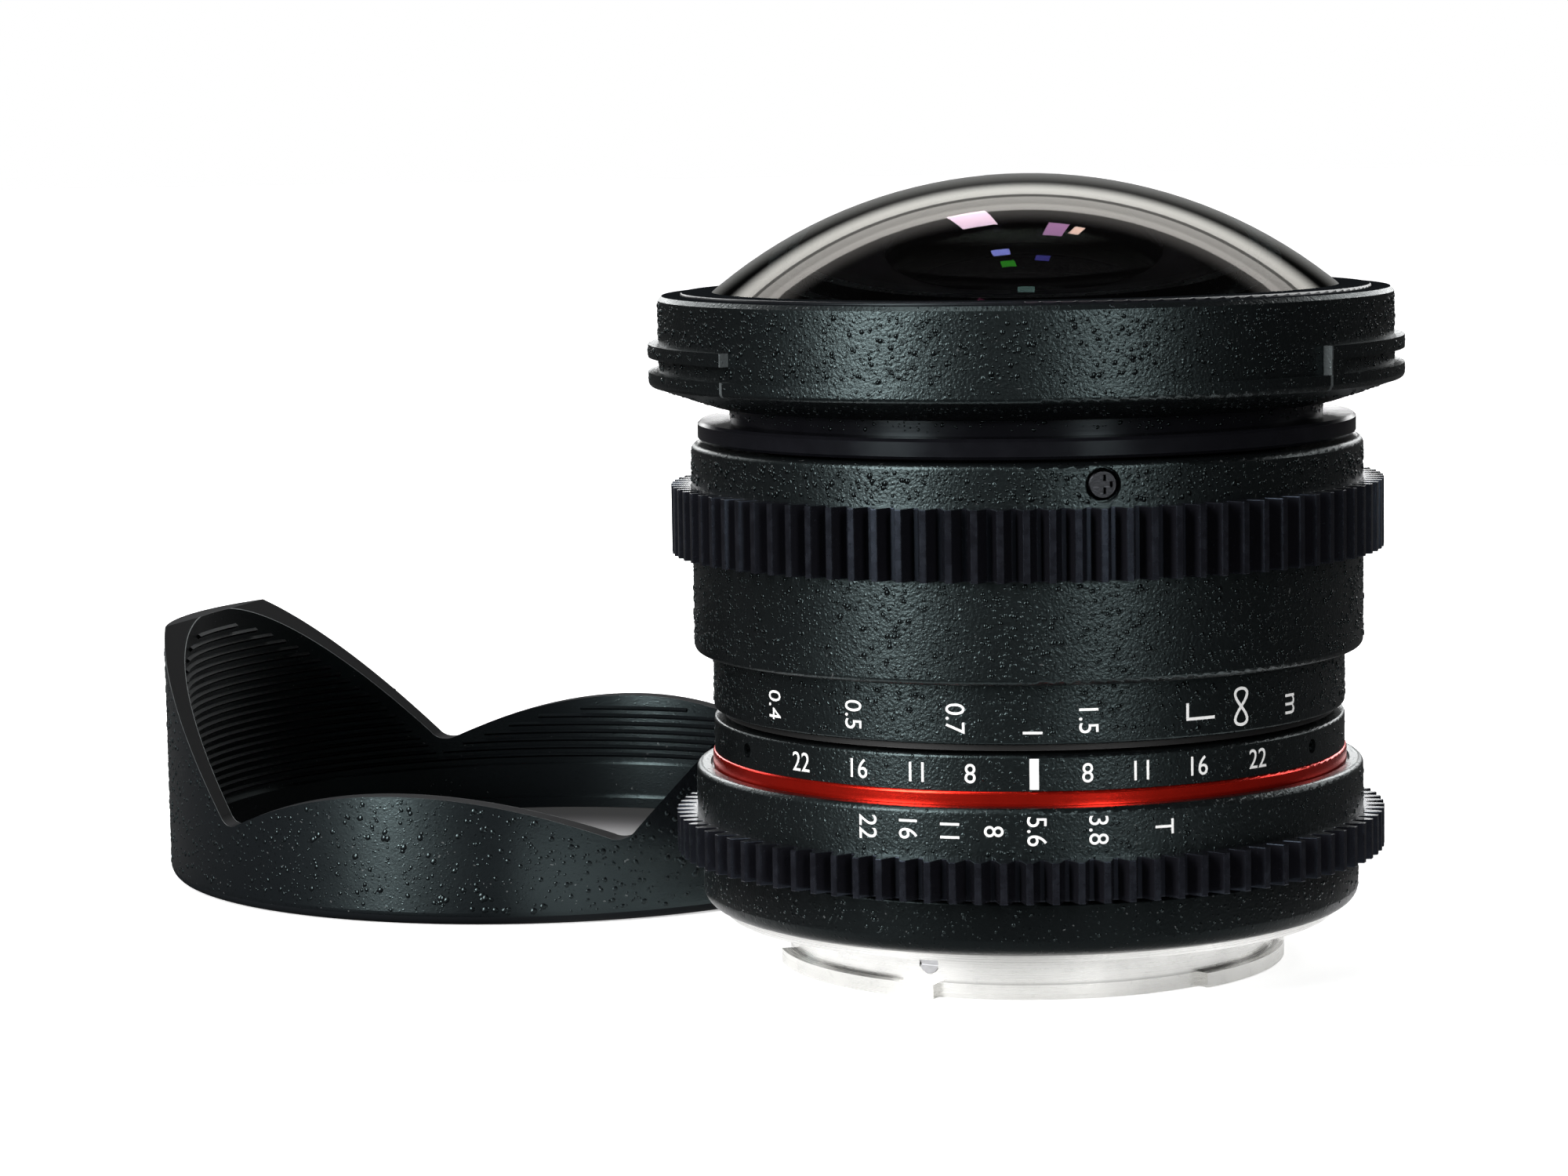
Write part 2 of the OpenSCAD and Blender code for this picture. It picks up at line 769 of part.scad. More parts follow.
module focus_gear() {
    color(satin) gear_ring(z_focus_gear, focus_gear_w);
}

module focus_screw_places() {
    for (i = [0:2]) radial(focus_screw_first + i * 120, focus_screw_z) children();
}

module focus_cap() {
    color(black) difference() {
        rotate_extrude() rounded_section(r_shell, r_ring, z_cap, z_focus_top, 0, ring_round);
        focus_screw_places() {
            translate([0, 0, r_shell - 1]) cylinder(r = focus_screw_r + fit, h = r_ring);
            translate([0, 0, r_ring - focus_head_t]) cylinder(r = focus_head_r + head_room, h = 2);
        }
    }
}

module focus_screws() {
    head_top = r_ring - 2 * fit;
    tip = r_sleeve_in + retainer_lap + fit;
    color(steel) focus_screw_places() difference() {
        union() {
            translate([0, 0, tip]) cylinder(r = focus_screw_r, h = head_top - tip - fuse);
            translate([0, 0, r_ring - focus_head_t + fit])
                cylinder(r = focus_head_r, h = focus_head_t - 3 * fit - head_bevel);
            translate([0, 0, head_top - head_bevel])
                cylinder(r1 = focus_head_r, r2 = focus_head_r - head_bevel, h = head_bevel);
        }
        for (a = [0, 90]) rotate([0, 0, a])
            translate([-0.6 * focus_head_r, -slot_w, head_top - 2 * slot_w])
            cube([1.2 * focus_head_r, 2 * slot_w, 1]);
    }
}

// Sleeve inside the focus ring, with the groove that moves the rollers
module cam_sleeve() {
    groove_half = roller_r + run + focus_travel;
    color(brass) difference() {
        tube(r_sleeve_in, r_sleeve, z_sleeve, z_sleeve_top);
        tube(1, r_sleeve_in + retainer_lap, z_retainer - run, z_sleeve_top + 1);
        tube(1, r_sleeve_in + roller_depth + run, z_roller - groove_half, z_roller + groove_half);
        sector(r_sleeve_in - 1, r_sleeve + 1, z_stop - stop_r - run, z_stop + stop_r + run,
            stop_angle - focus_near - pin_play, stop_angle + focus_far + pin_play);
        focus_screw_places() cylinder(r = focus_screw_r + fit, h = r_ring);
    }
}

// Sliding lens barrel and front

module lens_barrel() {
    color(inner) difference() {
        union() {
            tube(r_barrel_in, r_barrel, z_barrel, z_barrel_top);
            tube(r_web_hole, r_barrel_in + fuse, z_web - web_t, z_web);
        }
        for (i = [0:2])
            radial_rod(i * 120, z_roller, roller_screw_r + fit, r_barrel_in - 1, r_barrel + 1);
    }
}

module cam_rollers() {
    color(steel) for (i = [0:2]) {
        radial_rod(i * 120, z_roller, roller_r, r_barrel + fit, r_sleeve_in + roller_depth);
        radial_rod(i * 120, z_roller, roller_screw_r, r_barrel_in, r_barrel + 2 * fit);
    }
}

module front_barrel() {
    neck_in = r_neck - neck_wall;
    floor_z = z_barrel_top + floor_t;
    color(satin) revolve([
        [r_barrel + fit, z_disc], [r_disc - run, z_disc], [r_disc, z_disc + run],
        [r_disc, z_neck - run], [r_disc - run, z_neck], [r_neck, z_neck], [r_neck, z_rim],
        [neck_in, z_rim], [neck_in, floor_z], [r_barrel_in, floor_z], [r_barrel_in, z_barrel_top],
        [r_barrel + fit, z_barrel_top]
    ]);
}

module front_rim() {
    bore_2 = element_2_r + fit;
    color(black) {
        difference() {
            rotate_extrude() {
                rounded_section(bore_2 - ledge_2_w, r_rim_lip, z_rim, z_groove, ring_round, 0);
                rounded_section(bore_2 - ledge_2_w, r_rim, z_groove - fuse, z_rim_top, 0, 0);
                polygon([
                    [r_slope, z_rim + fuse], [r_slope, z_rim - rim_slope_h],
                    [r_slope + slope_land, z_rim - rim_slope_h], [r_rim_lip - ring_round, z_rim],
                    [r_rim_lip - ring_round, z_rim + fuse]
                ]);
            }
            tube(1, bore_2, z_el2, z_rim_top + 1);
            tube(bore_2 + el2_collar_w, r_glass + fit, z_glass, z_rim_top + 1);
            translate([0, 0, z_el2_shoulder + el2_retainer_h]) cylinder(r = r_glass, h = rim_h);
            tube(r_glass - 1, r_bezel + fit, z_bezel, z_rim_top + 1);
            rotate_extrude() polygon([
                [r_rim - rim_bevel, z_rim_top + fuse], [r_rim + 1, z_rim_top + fuse],
                [r_rim + 1, z_rim_top - rim_bevel - 1], [r_rim + fuse, z_rim_top - rim_bevel - fuse]
            ]);
        }
        for (side = [-90, 90]) {
            half = 90 - hood_lug_start;
            sector(r_rim - 1, r_rim_lip, z_hood_lug, z_hood_lug_top, side - half, side + half);
            sector(r_rim - 1, r_rim_lip - fit, z_groove - fuse, z_hood_lug + fuse,
                side - half, side - half + hood_stop_angle);
        }
    }
}

module front_bezel() {
    color(satin) difference() {
        rotate_extrude() rounded_section(r_dome, r_bezel, z_bezel, z_bezel_top, 0, run);
        translate([0, 0, z_bezel - 1]) cylinder(r = r_bezel_seat, h = z_bezel_seat - z_bezel + 1);
        translate([0, 0, dome_center]) sphere(r = dome_radius + fit, $fn = lens_fn);
    }
}

// Glass and cells in front of the diaphragm

module element_1() {
    color(glass) difference() {
        intersection() {
            union() {
                translate([0, 0, z_glass + glass_edge_h]) cylinder(r = r_glass, h = z_apex - z_glass);
                translate([0, 0, z_glass]) cylinder(r1 = glass_chamfer_r, r2 = r_glass, h = glass_edge_h);
            }
            ball(z_apex, dome_radius);
        }
        ball(rear_hollow_z + front_glass_rear_r, front_glass_rear_r);
    }
}

module element_2() {
    front_r = element_2_r - el2_shoulder;
    z_front = z_el2_shoulder + run + sag(el2_front_R, front_r);
    color(glass) difference() {
        union() {
            translate([0, 0, z_el2]) cylinder(r = element_2_r, h = el2_edge_h);
            intersection() {
                translate([0, 0, z_el2]) cylinder(r = front_r, h = rim_h);
                ball(z_front, el2_front_R);
            }
        }
        ball(z_el2 + sag(el2_rear_R, el2_rear_open), el2_rear_R);
    }
}

module element_2_retainer() {
    r_in = element_2_r - el2_shoulder + fit;
    color(inner) tube(r_in, element_2_r, z_el2_shoulder, z_el2_shoulder + el2_retainer_h);
}

module front_cell() {
    bore_3 = element_3_r + fit;
    bore_d = front_doublet_r + fit;
    color(inner) difference() {
        union() {
            translate([0, 0, z_web]) cylinder(r = r_front_cell, h = z_front_cell_top - z_web);
            translate([0, 0, z_web]) cylinder(r = r_front_cell + cell_flange_w, h = cell_flange_t);
        }
        translate([0, 0, z_el3_seat]) cylinder(r = bore_3, h = z_front_cell_top);
        translate([0, 0, z_fd_seat]) cylinder(r = bore_d, h = z_el3_seat);
        translate([0, 0, z_web - 1]) cylinder(r = bore_d - fd_ledge_w, h = z_el3_seat);
    }
}

module element_3() {
    color(glass) difference() {
        translate([0, 0, z_el3_seat]) cylinder(r = element_3_r, h = z_el3_top - z_el3_seat);
        ball(z_el3_front, -el3_front_R);
        ball(z_el3_seat + sag(el3_rear_R, element_3_r - el3_flat_w), el3_rear_R);
    }
}

module element_3_retainer() {
    color(inner) tube(element_3_r - el3_retainer_w, element_3_r, z_el3_top + fit, z_front_cell_top);
}

module element_4() {
    color(glass) lens(front_doublet_r, z_el4_front, el4_R, z_fd_joint, -fd_joint_R);
}

module element_5() {
    color(glass) lens(front_doublet_r, z_fd_joint, -fd_joint_R, z_el5_rear, -el5_R);
}

module front_doublet_retainer() {
    inner_r = front_doublet_r - fd_retainer_w;
    z = z_el4_front - sag(el4_R, inner_r) + fit;
    color(inner) tube(inner_r, front_doublet_r, z, z + fd_retainer_h);
}

// Diaphragm

module diaphragm_housing() {
    arm_half = asin((finger_w / 2 + run) / r_housing_in) + pin_play;
    color(inner) difference() {
        union() {
            tube(housing_hole_r, r_housing, z_housing, z_housing + housing_floor_t);
            tube(r_housing_in, r_housing, z_housing, z_iris_top);
            for (i = [0:blades - 1]) translate(concat(polar(pivot_r, i * 360 / blades), z_housing))
                cylinder(r = pivot_pin_r, h = z_iris - z_housing - hole_play);
        }
        sector(r_housing_in - 1, r_housing + 1, z_iris - run, z_iris_top + 1,
            pin_angle - aperture_open - arm_half, pin_angle + aperture_shut + arm_half);
    }
}

// Drive pin of the first blade when the aperture ring has turned by a
function drive_pin(a) = [pivot_r, 0] + polar(crank, a * blade_ratio - 90);

// The same pin as the iris ring sees it
function slot_path(a) = turned(drive_pin(a), -a);

// Points of one edge of the cam slot, w to the side of the pin's path
function slot_edge(w) = [
    for (i = [0:slot_points])
        let (
            past = 4,
            a = -aperture_open - past + i * (aperture_open + aperture_shut + 2 * past) / slot_points,
            along = slot_path(a + 1) - slot_path(a - 1),
            side = [-along.y, along.x] / norm(along)
        )
        slot_path(a) + w * side
];

module iris_ring() {
    slot_half = drive_pin_r + slot_play;
    slot_outline = concat(slot_edge(slot_half), [for (i = [slot_points:-1:0]) slot_edge(-slot_half)[i]]);
    color(steel) difference() {
        union() {
            translate([0, 0, z_iris]) linear_extrude(iris_t) difference() {
                circle(r_iris);
                circle(r_iris_in);
                for (i = [0:blades - 1]) rotate(i * 360 / blades) polygon(slot_outline);
            }
            radial(pin_angle, z_iris) translate([-iris_t, -finger_w / 2, r_iris - finger_lap])
                cube([iris_t, finger_w, r_finger + finger_t - r_iris + finger_lap]);
            rotate([0, 0, pin_angle - 90])
                translate([r_finger, -finger_w / 2, z_finger])
                cube([finger_t, finger_w, z_iris + iris_t - z_finger]);
        }
        rotate([0, 0, pin_angle - 90])
            translate([r_finger - 1, -pin_r - slot_play, z_finger - 1])
            cube([finger_t + 2, 2 * (pin_r + slot_play), z_pin + pin_r + run + focus_travel - z_finger + 1]);
    }
}

// Sickle blade number i, drawn at the photographed setting
module blade(i) {
    color(steel) rotate([0, 0, i * 360 / blades]) translate([0, 0, z_blades + i * blade_pitch]) {
        linear_extrude(blade_t) difference() {
            union() {
                translate([pivot_r, 0]) rotate(blade_rest) translate([-pivot_r, 0]) sickle();
                translate([pivot_r, 0]) circle(eye_r);
                translate([pivot_r - arm_r, -crank]) square([2 * arm_r, crank]);
                translate([pivot_r, -crank]) circle(arm_r);
            }
            translate([pivot_r, 0]) circle(pivot_pin_r + hole_play);
        }
        translate([pivot_r, -crank, 0])
            cylinder(r = drive_pin_r, h = z_iris + iris_t - z_blades - i * blade_pitch);
    }
}

// Crescent around the open aperture, with the root that reaches out to its pivot
module sickle() {
    far = 2 * pivot_r;
    difference() {
        intersection() {
            circle(open_r + blade_w);
            polygon([[0, 0], for (i = [0:3]) polar(far, i * (blade_span + blade_root) / 3 - blade_root)]);
        }
        circle(open_r);
    }
    translate([open_r + blade_w - root_lap, -root_w / 2])
        square([pivot_r - open_r - blade_w + root_lap, root_w]);
}

module blade_1() { blade(0); }
module blade_2() { blade(1); }
module blade_3() { blade(2); }
module blade_4() { blade(3); }
module blade_5() { blade(4); }
module blade_6() { blade(5); }

// Glass and cell behind the diaphragm

module rear_cell() {
    color(inner) difference() {
        union() {
            translate([0, 0, z_rc]) cylinder(r = r_rear_cell, h = z_rc_top - z_rc);
            translate([0, 0, z_rc_top - rc_flange_t]) cylinder(r = r_housing - run, h = rc_flange_t);
        }
        translate([0, 0, z_md_seat]) cylinder(r = middle_doublet_r + fit, h = z_rc_top);
        translate([0, 0, z_rc - 1]) cylinder(r = middle_doublet_r + fit - md_ledge_w, h = z_rc_top);
        translate([0, 0, z_rc - 1]) cylinder(r = element_8_r + fit, h = z_el8_seat - z_rc + 1);
        translate([0, 0, z_rc - 1]) cylinder(r = rear_doublet_r + fit, h = z_rd_bore - z_rc + 1);
    }
}

module element_6() {
    color(glass) lens(middle_doublet_r, z_el6_front, -el6_R, z_md_joint, md_joint_R);
}

module element_7() {
    color(glass) lens(middle_doublet_r, z_md_joint, md_joint_R, z_el7_rear, -el7_R);
}

module element_8() {
    color(glass) lens(element_8_r, z_el8_front, el8_front_R, z_el8_rear, -el8_rear_R);
}

module rear_spacer() {
    color(inner) tube(element_8_r - spacer_w, element_8_r, z_spacer, z_spacer_top);
}

module element_9() {
    color(glass) lens(rear_doublet_r, z_el9_front, el9_R, z_rd_joint, -rd_joint_R);
}

module element_10() {
    color(glass) lens(rear_doublet_r, z_rd_joint, -rd_joint_R, z_el10_rear, -el10_R);
}

module rear_retainer() {
    color(inner) tube(rear_doublet_r - rear_retainer_w, rear_doublet_r,
        z_rear_retainer_top - rear_retainer_h, z_rear_retainer_top);
}

// Hood

// Side view of the gap between two tall petals, above a low petal
module petal_gap() {
    low = notch - notch_round * flank_u;
    high = notch + 2 * hood_h * flank_u;
    difference() {
        polygon([[-low.x, low.y], low, high, [-high.x, high.y]]);
        translate(crest_center) circle(crest_R, $fn = lens_fn);
        for (side = [-1, 1]) notch_tip(side);
    }
    for (side = [-1, 1]) translate([side * notch_c.x, notch_c.y]) circle(notch_round + notch_lap);
}

// Sharp end of a notch, which the rounding replaces
module notch_tip(side) {
    corners = [
        notch - [0, notch_round], notch_on_flank + notch_lap * [1, -1],
        notch_c, notch_on_crest - notch_lap * [1, 1]
    ];
    polygon(side > 0 ? corners : [for (i = [3:-1:0]) [-corners[i].x, corners[i].y]]);
}

module hood() {
    color(black) translate([hood_x, hood_y, 0]) rotate([0, 0, hood_turn]) {
        difference() {
            rotate_extrude() difference() {
                rounded_section(collar_r, hood_r, 0, hood_h, hood_round, 0);
                translate([0, collar_h]) square([petal_r, hood_h]);
            }
            rotate([90, 0, 0]) translate([0, 0, -hood_r - 1]) linear_extrude(2 * hood_r + 2) petal_gap();
        }
        for (side = [0, 180])
            sector(collar_r - tab_reach, collar_r + 1, 0, tab_t,
                side - tab_angle / 2, side + tab_angle / 2);
    }
}

mount_bayonet();
mount_screws();
baffle_screws();
rear_baffle();
rear_barrel();
fixed_barrel();
index_ring();
index_set_screws();
red_ring();
focus_stop_pin();
focus_retaining_ring();
aperture_ring();
aperture_gear();
aperture_drive_pin();
focus_ring();
focus_gear();
focus_cap();
focus_screws();
cam_sleeve();
lens_barrel();
cam_rollers();
front_barrel();
front_rim();
front_bezel();
element_1();
element_2();
element_2_retainer();
front_cell();
element_3();
element_3_retainer();
element_4();
element_5();
front_doublet_retainer();
diaphragm_housing();
iris_ring();
blade_1();
blade_2();
blade_3();
blade_4();
blade_5();
blade_6();
rear_cell();
element_6();
element_7();
element_8();
rear_spacer();
element_9();
element_10();
rear_retainer();
hood();
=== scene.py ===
"""Finishes, scales and light traps of a manual fisheye lens and its petal hood."""
import json
import math
import random

import bmesh
import bpy
from bpy.props import FloatProperty, FloatVectorProperty, IntProperty, PointerProperty
from mathutils import Matrix, Vector
from mathutils.bvhtree import BVHTree

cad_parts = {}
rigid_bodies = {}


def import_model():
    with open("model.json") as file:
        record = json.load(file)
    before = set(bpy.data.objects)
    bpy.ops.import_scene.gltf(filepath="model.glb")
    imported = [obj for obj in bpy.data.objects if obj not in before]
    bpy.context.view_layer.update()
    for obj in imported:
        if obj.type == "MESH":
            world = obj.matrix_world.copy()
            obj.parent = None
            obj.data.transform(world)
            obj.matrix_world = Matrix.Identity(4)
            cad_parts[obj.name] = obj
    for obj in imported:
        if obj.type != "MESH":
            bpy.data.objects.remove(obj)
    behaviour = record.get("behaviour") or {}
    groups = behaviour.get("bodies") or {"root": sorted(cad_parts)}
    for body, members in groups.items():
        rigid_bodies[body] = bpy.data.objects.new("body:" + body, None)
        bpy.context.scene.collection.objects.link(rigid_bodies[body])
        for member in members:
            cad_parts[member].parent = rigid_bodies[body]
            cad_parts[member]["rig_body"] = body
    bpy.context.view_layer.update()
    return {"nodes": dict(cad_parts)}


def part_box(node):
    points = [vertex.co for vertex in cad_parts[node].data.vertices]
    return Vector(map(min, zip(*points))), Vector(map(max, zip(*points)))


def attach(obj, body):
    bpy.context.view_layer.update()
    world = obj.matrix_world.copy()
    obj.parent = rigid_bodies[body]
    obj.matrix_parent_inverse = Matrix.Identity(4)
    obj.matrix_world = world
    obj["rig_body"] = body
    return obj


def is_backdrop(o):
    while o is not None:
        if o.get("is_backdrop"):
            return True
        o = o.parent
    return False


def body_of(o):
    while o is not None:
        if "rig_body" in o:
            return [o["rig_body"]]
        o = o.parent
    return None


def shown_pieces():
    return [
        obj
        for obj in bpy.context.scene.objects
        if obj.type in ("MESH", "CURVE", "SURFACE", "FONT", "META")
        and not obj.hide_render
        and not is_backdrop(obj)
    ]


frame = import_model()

bl_info = {
    "name": "Fisheye lens dresser",
    "version": (1, 0, 0),
    "blender": (4, 5, 0),
    "location": "View3D > Sidebar > Lens",
    "description": "Paints, engraves and lights a manual fisheye lens with its petal hood",
    "category": "Object",
}

MM = 0.001
# Hood lugs of the front rim: where they start, from the front, and the rim's own radius and flange
LUG_START = math.radians(50.0)
RIM_RADIUS = 38.7 * MM
RIM_FLANGE = 1.6 * MM


def length(name, description, millimetres):
    return FloatProperty(name=name, description=description, default=millimetres * MM, unit="LENGTH", precision=5)


def share(name, description, default):
    return FloatProperty(name=name, description=description, default=default, min=0.0, max=1.0, subtype="FACTOR")


def colour(name, description, default):
    return FloatVectorProperty(name=name, description=description, default=default, min=0.0, max=1.0,
                               size=3, subtype="COLOR")


def angle(name, description, degrees):
    return FloatProperty(name=name, description=description, default=math.radians(degrees), subtype="ANGLE")


def power(name, description, watts):
    return FloatProperty(name=name, description=description, default=watts, unit="POWER")


class FinishSettings(bpy.types.PropertyGroup):
    """Colours and grain of the finishes"""
    paint: colour("Paint", "Spatter paint of the rings and the rim", (0.0022, 0.0025, 0.0028))
    paint_sheen: colour("Paint sheen", "Tint of the light that the paint throws back", (0.74, 0.98, 1.0))
    paint_rough: share("Paint roughness", "How dull the paint is between its droplets", 0.25)
    mist_cell: length("Mist spacing", "Spacing of the fine paint mist", 0.5)
    mist_height: length("Mist height", "Height of the fine paint mist", 0.055)
    satin: colour("Satin black", "Anodised gears, disc and bezel", (0.005, 0.005, 0.0065))
    inside: colour("Inner black", "Blackened pieces inside the barrel", (0.003, 0.0025, 0.0027))
    red: colour("Red ring", "Anodised ring above the aperture ring", (0.95, 0.028, 0.014))
    chrome: colour("Chrome", "Turned camera mount", (0.87, 0.865, 0.845))
    hood: colour("Hood", "Moulded hood", (0.003, 0.0035, 0.0042))


class SpatterSettings(bpy.types.PropertyGroup):
    """Drops of paint that stand out of the rings"""
    smallest: length("Smallest drop", "Radius of the smallest drops", 0.12)
    largest: length("Largest drop", "Radius of the largest drops", 0.32)
    rise: share("Rise", "Height of a drop over its radius", 0.4)
    sunk: length("Sunk", "How deep a drop's foot lies in the paint", 0.02)
    clear: length("Clear edge", "Plain edge left around the markings", 0.3)
    seed: IntProperty(name="Seed", description="Start of the scatter", default=7)


class ScaleSettings(bpy.types.PropertyGroup):
    """Sizes of the painted scales"""
    digit: length("Digit height", "Height of the scale digits", 1.95)
    lift: length("Paint lift", "How far the lettering stands out of the ring", 0.03)
    stroke: length("Stroke", "Width of the drawn strokes", 0.3)
    band_radius: length("Band radius", "Radius of the two bands with markings", 33.45)
    ring_radius: length("Ring radius", "Radius of the aperture ring", 35.4)
    index_angle: angle("Index angle", "Direction of the index line from the front", 0.9)
    ink: colour("Lettering", "White paint in the scales", (0.86, 0.86, 0.85))


class HoodSettings(bpy.types.PropertyGroup):
    """Light-trap ribs inside the hood's petals"""
    pitch: length("Rib pitch", "Height from one rib to the next", 1.03)
    depth: length("Rib depth", "How far a rib stands out of the wall", 0.38)
    wall: length("Wall radius", "Inside radius of the petals", 41.05)
    outside: length("Outside radius", "Outside radius of the hood", 43.45)
    first: length("First rib", "Height of the lowest rib", 6.6)
    crest: length("Crest", "Height of the low petals", 14.5)
    notch: length("Notch", "Height of the notches between the petals", 8.8)
    margin: length("Margin", "Plain edge left around each petal", 0.7)
    turn: angle("Turn", "Turn of the hood on the table", -13.0)


class StageSettings(bpy.types.PropertyGroup):
    """Floor, light and camera"""
    floor: colour("Floor", "Pale floor", (0.93, 0.93, 0.93))
    key: power("Key power", "Soft box on the left", 8.0)
    fill: power("Fill power", "Soft box on the right", 3.6)
    top: power("Top power", "Soft box above", 1.6)
    back: power("Back power", "Soft boxes behind", 1.4)
    edge: power("Edge power", "Strip box for the hood alone", 11.0)
    spot: power("Spot power", "Small boxes behind, seen in the glass", 0.2)
    focal: FloatProperty(name="Focal length", description="Focal length of the camera", default=96.94,
                         unit="CAMERA")


class Sock:
    """A shader socket whose arithmetic adds Math nodes"""

    def __init__(self, shade, socket):
        self.shade = shade
        self.socket = socket

    def other(self, output):
        """Another output of the node that this socket belongs to"""
        return Sock(self.shade, self.socket.node.outputs[output])

    def math(self, operation, *values, clamp=False):
        return self.shade.maths(operation, self, *values, clamp=clamp)

    def clamped(self):
        return self.math("ADD", 0.0, clamp=True)

    def __add__(self, value):
        return self.math("ADD", value)

    def __radd__(self, value):
        return self.math("ADD", value)

    def __sub__(self, value):
        return self.math("SUBTRACT", value)

    def __rsub__(self, value):
        return self.shade.maths("SUBTRACT", value, self)

    def __mul__(self, value):
        return self.math("MULTIPLY", value)

    def __rmul__(self, value):
        return self.math("MULTIPLY", value)

    def __truediv__(self, value):
        return self.math("DIVIDE", value)

    def __rtruediv__(self, value):
        return self.shade.maths("DIVIDE", value, self)

    def __pow__(self, value):
        return self.math("POWER", value)

    def __gt__(self, value):
        return self.math("GREATER_THAN", value)

    def __lt__(self, value):
        return self.math("LESS_THAN", value)


SKINS = ("ShaderNodeBsdfPrincipled", "ShaderNodeBackground")


class Shade:
    """A node material, built by expressions"""

    def __init__(self, owner):
        self.owner = bpy.data.materials.new(owner) if isinstance(owner, str) else owner
        self.owner.use_nodes = True
        self.tree = self.owner.node_tree
        self.skin = next(node for node in self.tree.nodes if node.bl_idname in SKINS)

    def node(self, kind, settings=None, inputs=None, out=0):
        """Adds a node: its settings first, then the values or links of its sockets"""
        made = self.tree.nodes.new(kind)
        for key, value in (settings or {}).items():
            setattr(made, key, value)
        for key, value in (inputs or {}).items():
            self.feed(made.inputs[key], value)
        return Sock(self, made.outputs[out])

    def feed(self, socket, value):
        if isinstance(value, Sock):
            self.tree.links.new(value.socket, socket)
        else:
            socket.default_value = value

    def maths(self, operation, *values, clamp=False):
        return self.node("ShaderNodeMath", {"operation": operation, "use_clamp": clamp}, dict(enumerate(values)))

    def place(self):
        """Place on the object, in metres"""
        return self.node("ShaderNodeTexCoord", out="Object")

    def moved(self, place, offset, amount):
        """A place pushed about by a colour"""
        centred = self.node("ShaderNodeVectorMath", {"operation": "SUBTRACT"}, {0: offset, 1: (0.5, 0.5, 0.5)})
        scaled = self.node("ShaderNodeVectorMath", {"operation": "SCALE"}, {0: centred, "Scale": amount})
        return self.node("ShaderNodeVectorMath", {"operation": "ADD"}, {0: place, 1: scaled})

    def noise(self, place, size, detail=2.0, out="Fac"):
        return self.node("ShaderNodeTexNoise", None,
                         {"Vector": place, "Scale": 1.0 / size, "Detail": detail}, out)

    def axes(self, place):
        """The three numbers of a place"""
        x = self.node("ShaderNodeSeparateXYZ", None, {0: place}, "X")
        return x, x.other("Y"), x.other("Z")

    def turned(self, place, size):
        """Fine rings left by a lathe, which run round the lens axis"""
        x, y, z = self.axes(place)
        section = self.node("ShaderNodeCombineXYZ", None, {"X": distance(x, y), "Y": z})
        return self.noise(section, size, 3.0)

    def mix(self, factor, low, high):
        ends = [end if isinstance(end, Sock) else (*end, 1.0) for end in (low, high)]
        return self.node("ShaderNodeMix", {"data_type": "RGBA"}, {0: factor, 6: ends[0], 7: ends[1]}, 2)

    def ramp(self, value, low, high):
        """0 below low, 1 above high and smooth between"""
        return self.node("ShaderNodeMapRange", {"interpolation_type": "SMOOTHSTEP"},
                         {"Value": value, "From Min": low, "From Max": high})

    def band(self, value, low, full, fall, high):
        """Rises from 0 at low to 1 at full, and falls back from 1 at fall to 0 at high"""
        return self.ramp(value, low, full) * (1.0 - self.ramp(value, fall, high))

    def bump(self, height, depth, **inputs):
        """A bumped normal, on top of another normal if one is given"""
        over = {key.capitalize(): value for key, value in inputs.items()}
        return self.node("ShaderNodeBump", None, {"Distance": depth, "Height": height, **over})

    def coat(self, **inputs):
        """Sets the shader's own sockets and hands back the material"""
        for key, value in inputs.items():
            self.feed(self.skin.inputs[key.replace("_", " ")], value)
        return self.owner

    def cover(self, factor, over):
        """Lays another shader over the material where the factor is 1"""
        output = next(node for node in self.tree.nodes if node.bl_idname == "ShaderNodeOutputMaterial")
        surface = output.inputs["Surface"]
        under = Sock(self, surface.links[0].from_socket)
        self.feed(surface, self.node("ShaderNodeMixShader", None, {0: factor, 1: under, 2: over}))


def distance(*sides):
    """Shader maths for the length of a line with the given sides"""
    first, *others = (side * side for side in sides)
    return sum(others, first) ** 0.5


def wear(nodes, material):
    """Gives CAD nodes a material"""
    for name in nodes:
        mesh = frame["nodes"][name].data
        mesh.materials.clear()
        mesh.materials.append(material)


def tinted(rgb, factor):
    """A lighter or darker colour"""
    return tuple(min(1.0, value * factor) for value in rgb)


DUST = (0.2, 0.21, 0.21)
# Light grey of the painted highlight on the end faces of the rim's lugs
LUG_END_HIGHLIGHT = (0.07, 0.078, 0.08)
MATT_BLACK = (0.006, 0.007, 0.008)


def droplets(shade, place, cell, low, high, part):
    """Domed drops of paint: heights from 0 to 1 on a part of the cells of a scatter"""
    near = shade.node("ShaderNodeTexVoronoi", None, {"Vector": place, "Scale": 1.0 / cell}, "Distance")
    pick = shade.node("ShaderNodeSeparateColor", None, {0: near.other("Color")}, "Red")
    size = pick * (high - low) + low
    dome = (1.0 - (near / size) ** 2.0).clamped()
    return dome * (pick.other("Green") < part)


def lug_ends(shade, place):
    """1 on the end faces of the hood lugs of the rim, which get a painted highlight in light grey"""
    x, y, z = shade.axes(place)
    turn = x.math("ABSOLUTE").math("ARCTAN2", y.math("ABSOLUTE"))
    end = turn.math("COMPARE", LUG_START, math.radians(0.3)) * (distance(x, y) > RIM_RADIUS)
    return end * (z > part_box("front_rim")[0][2] + RIM_FLANGE)


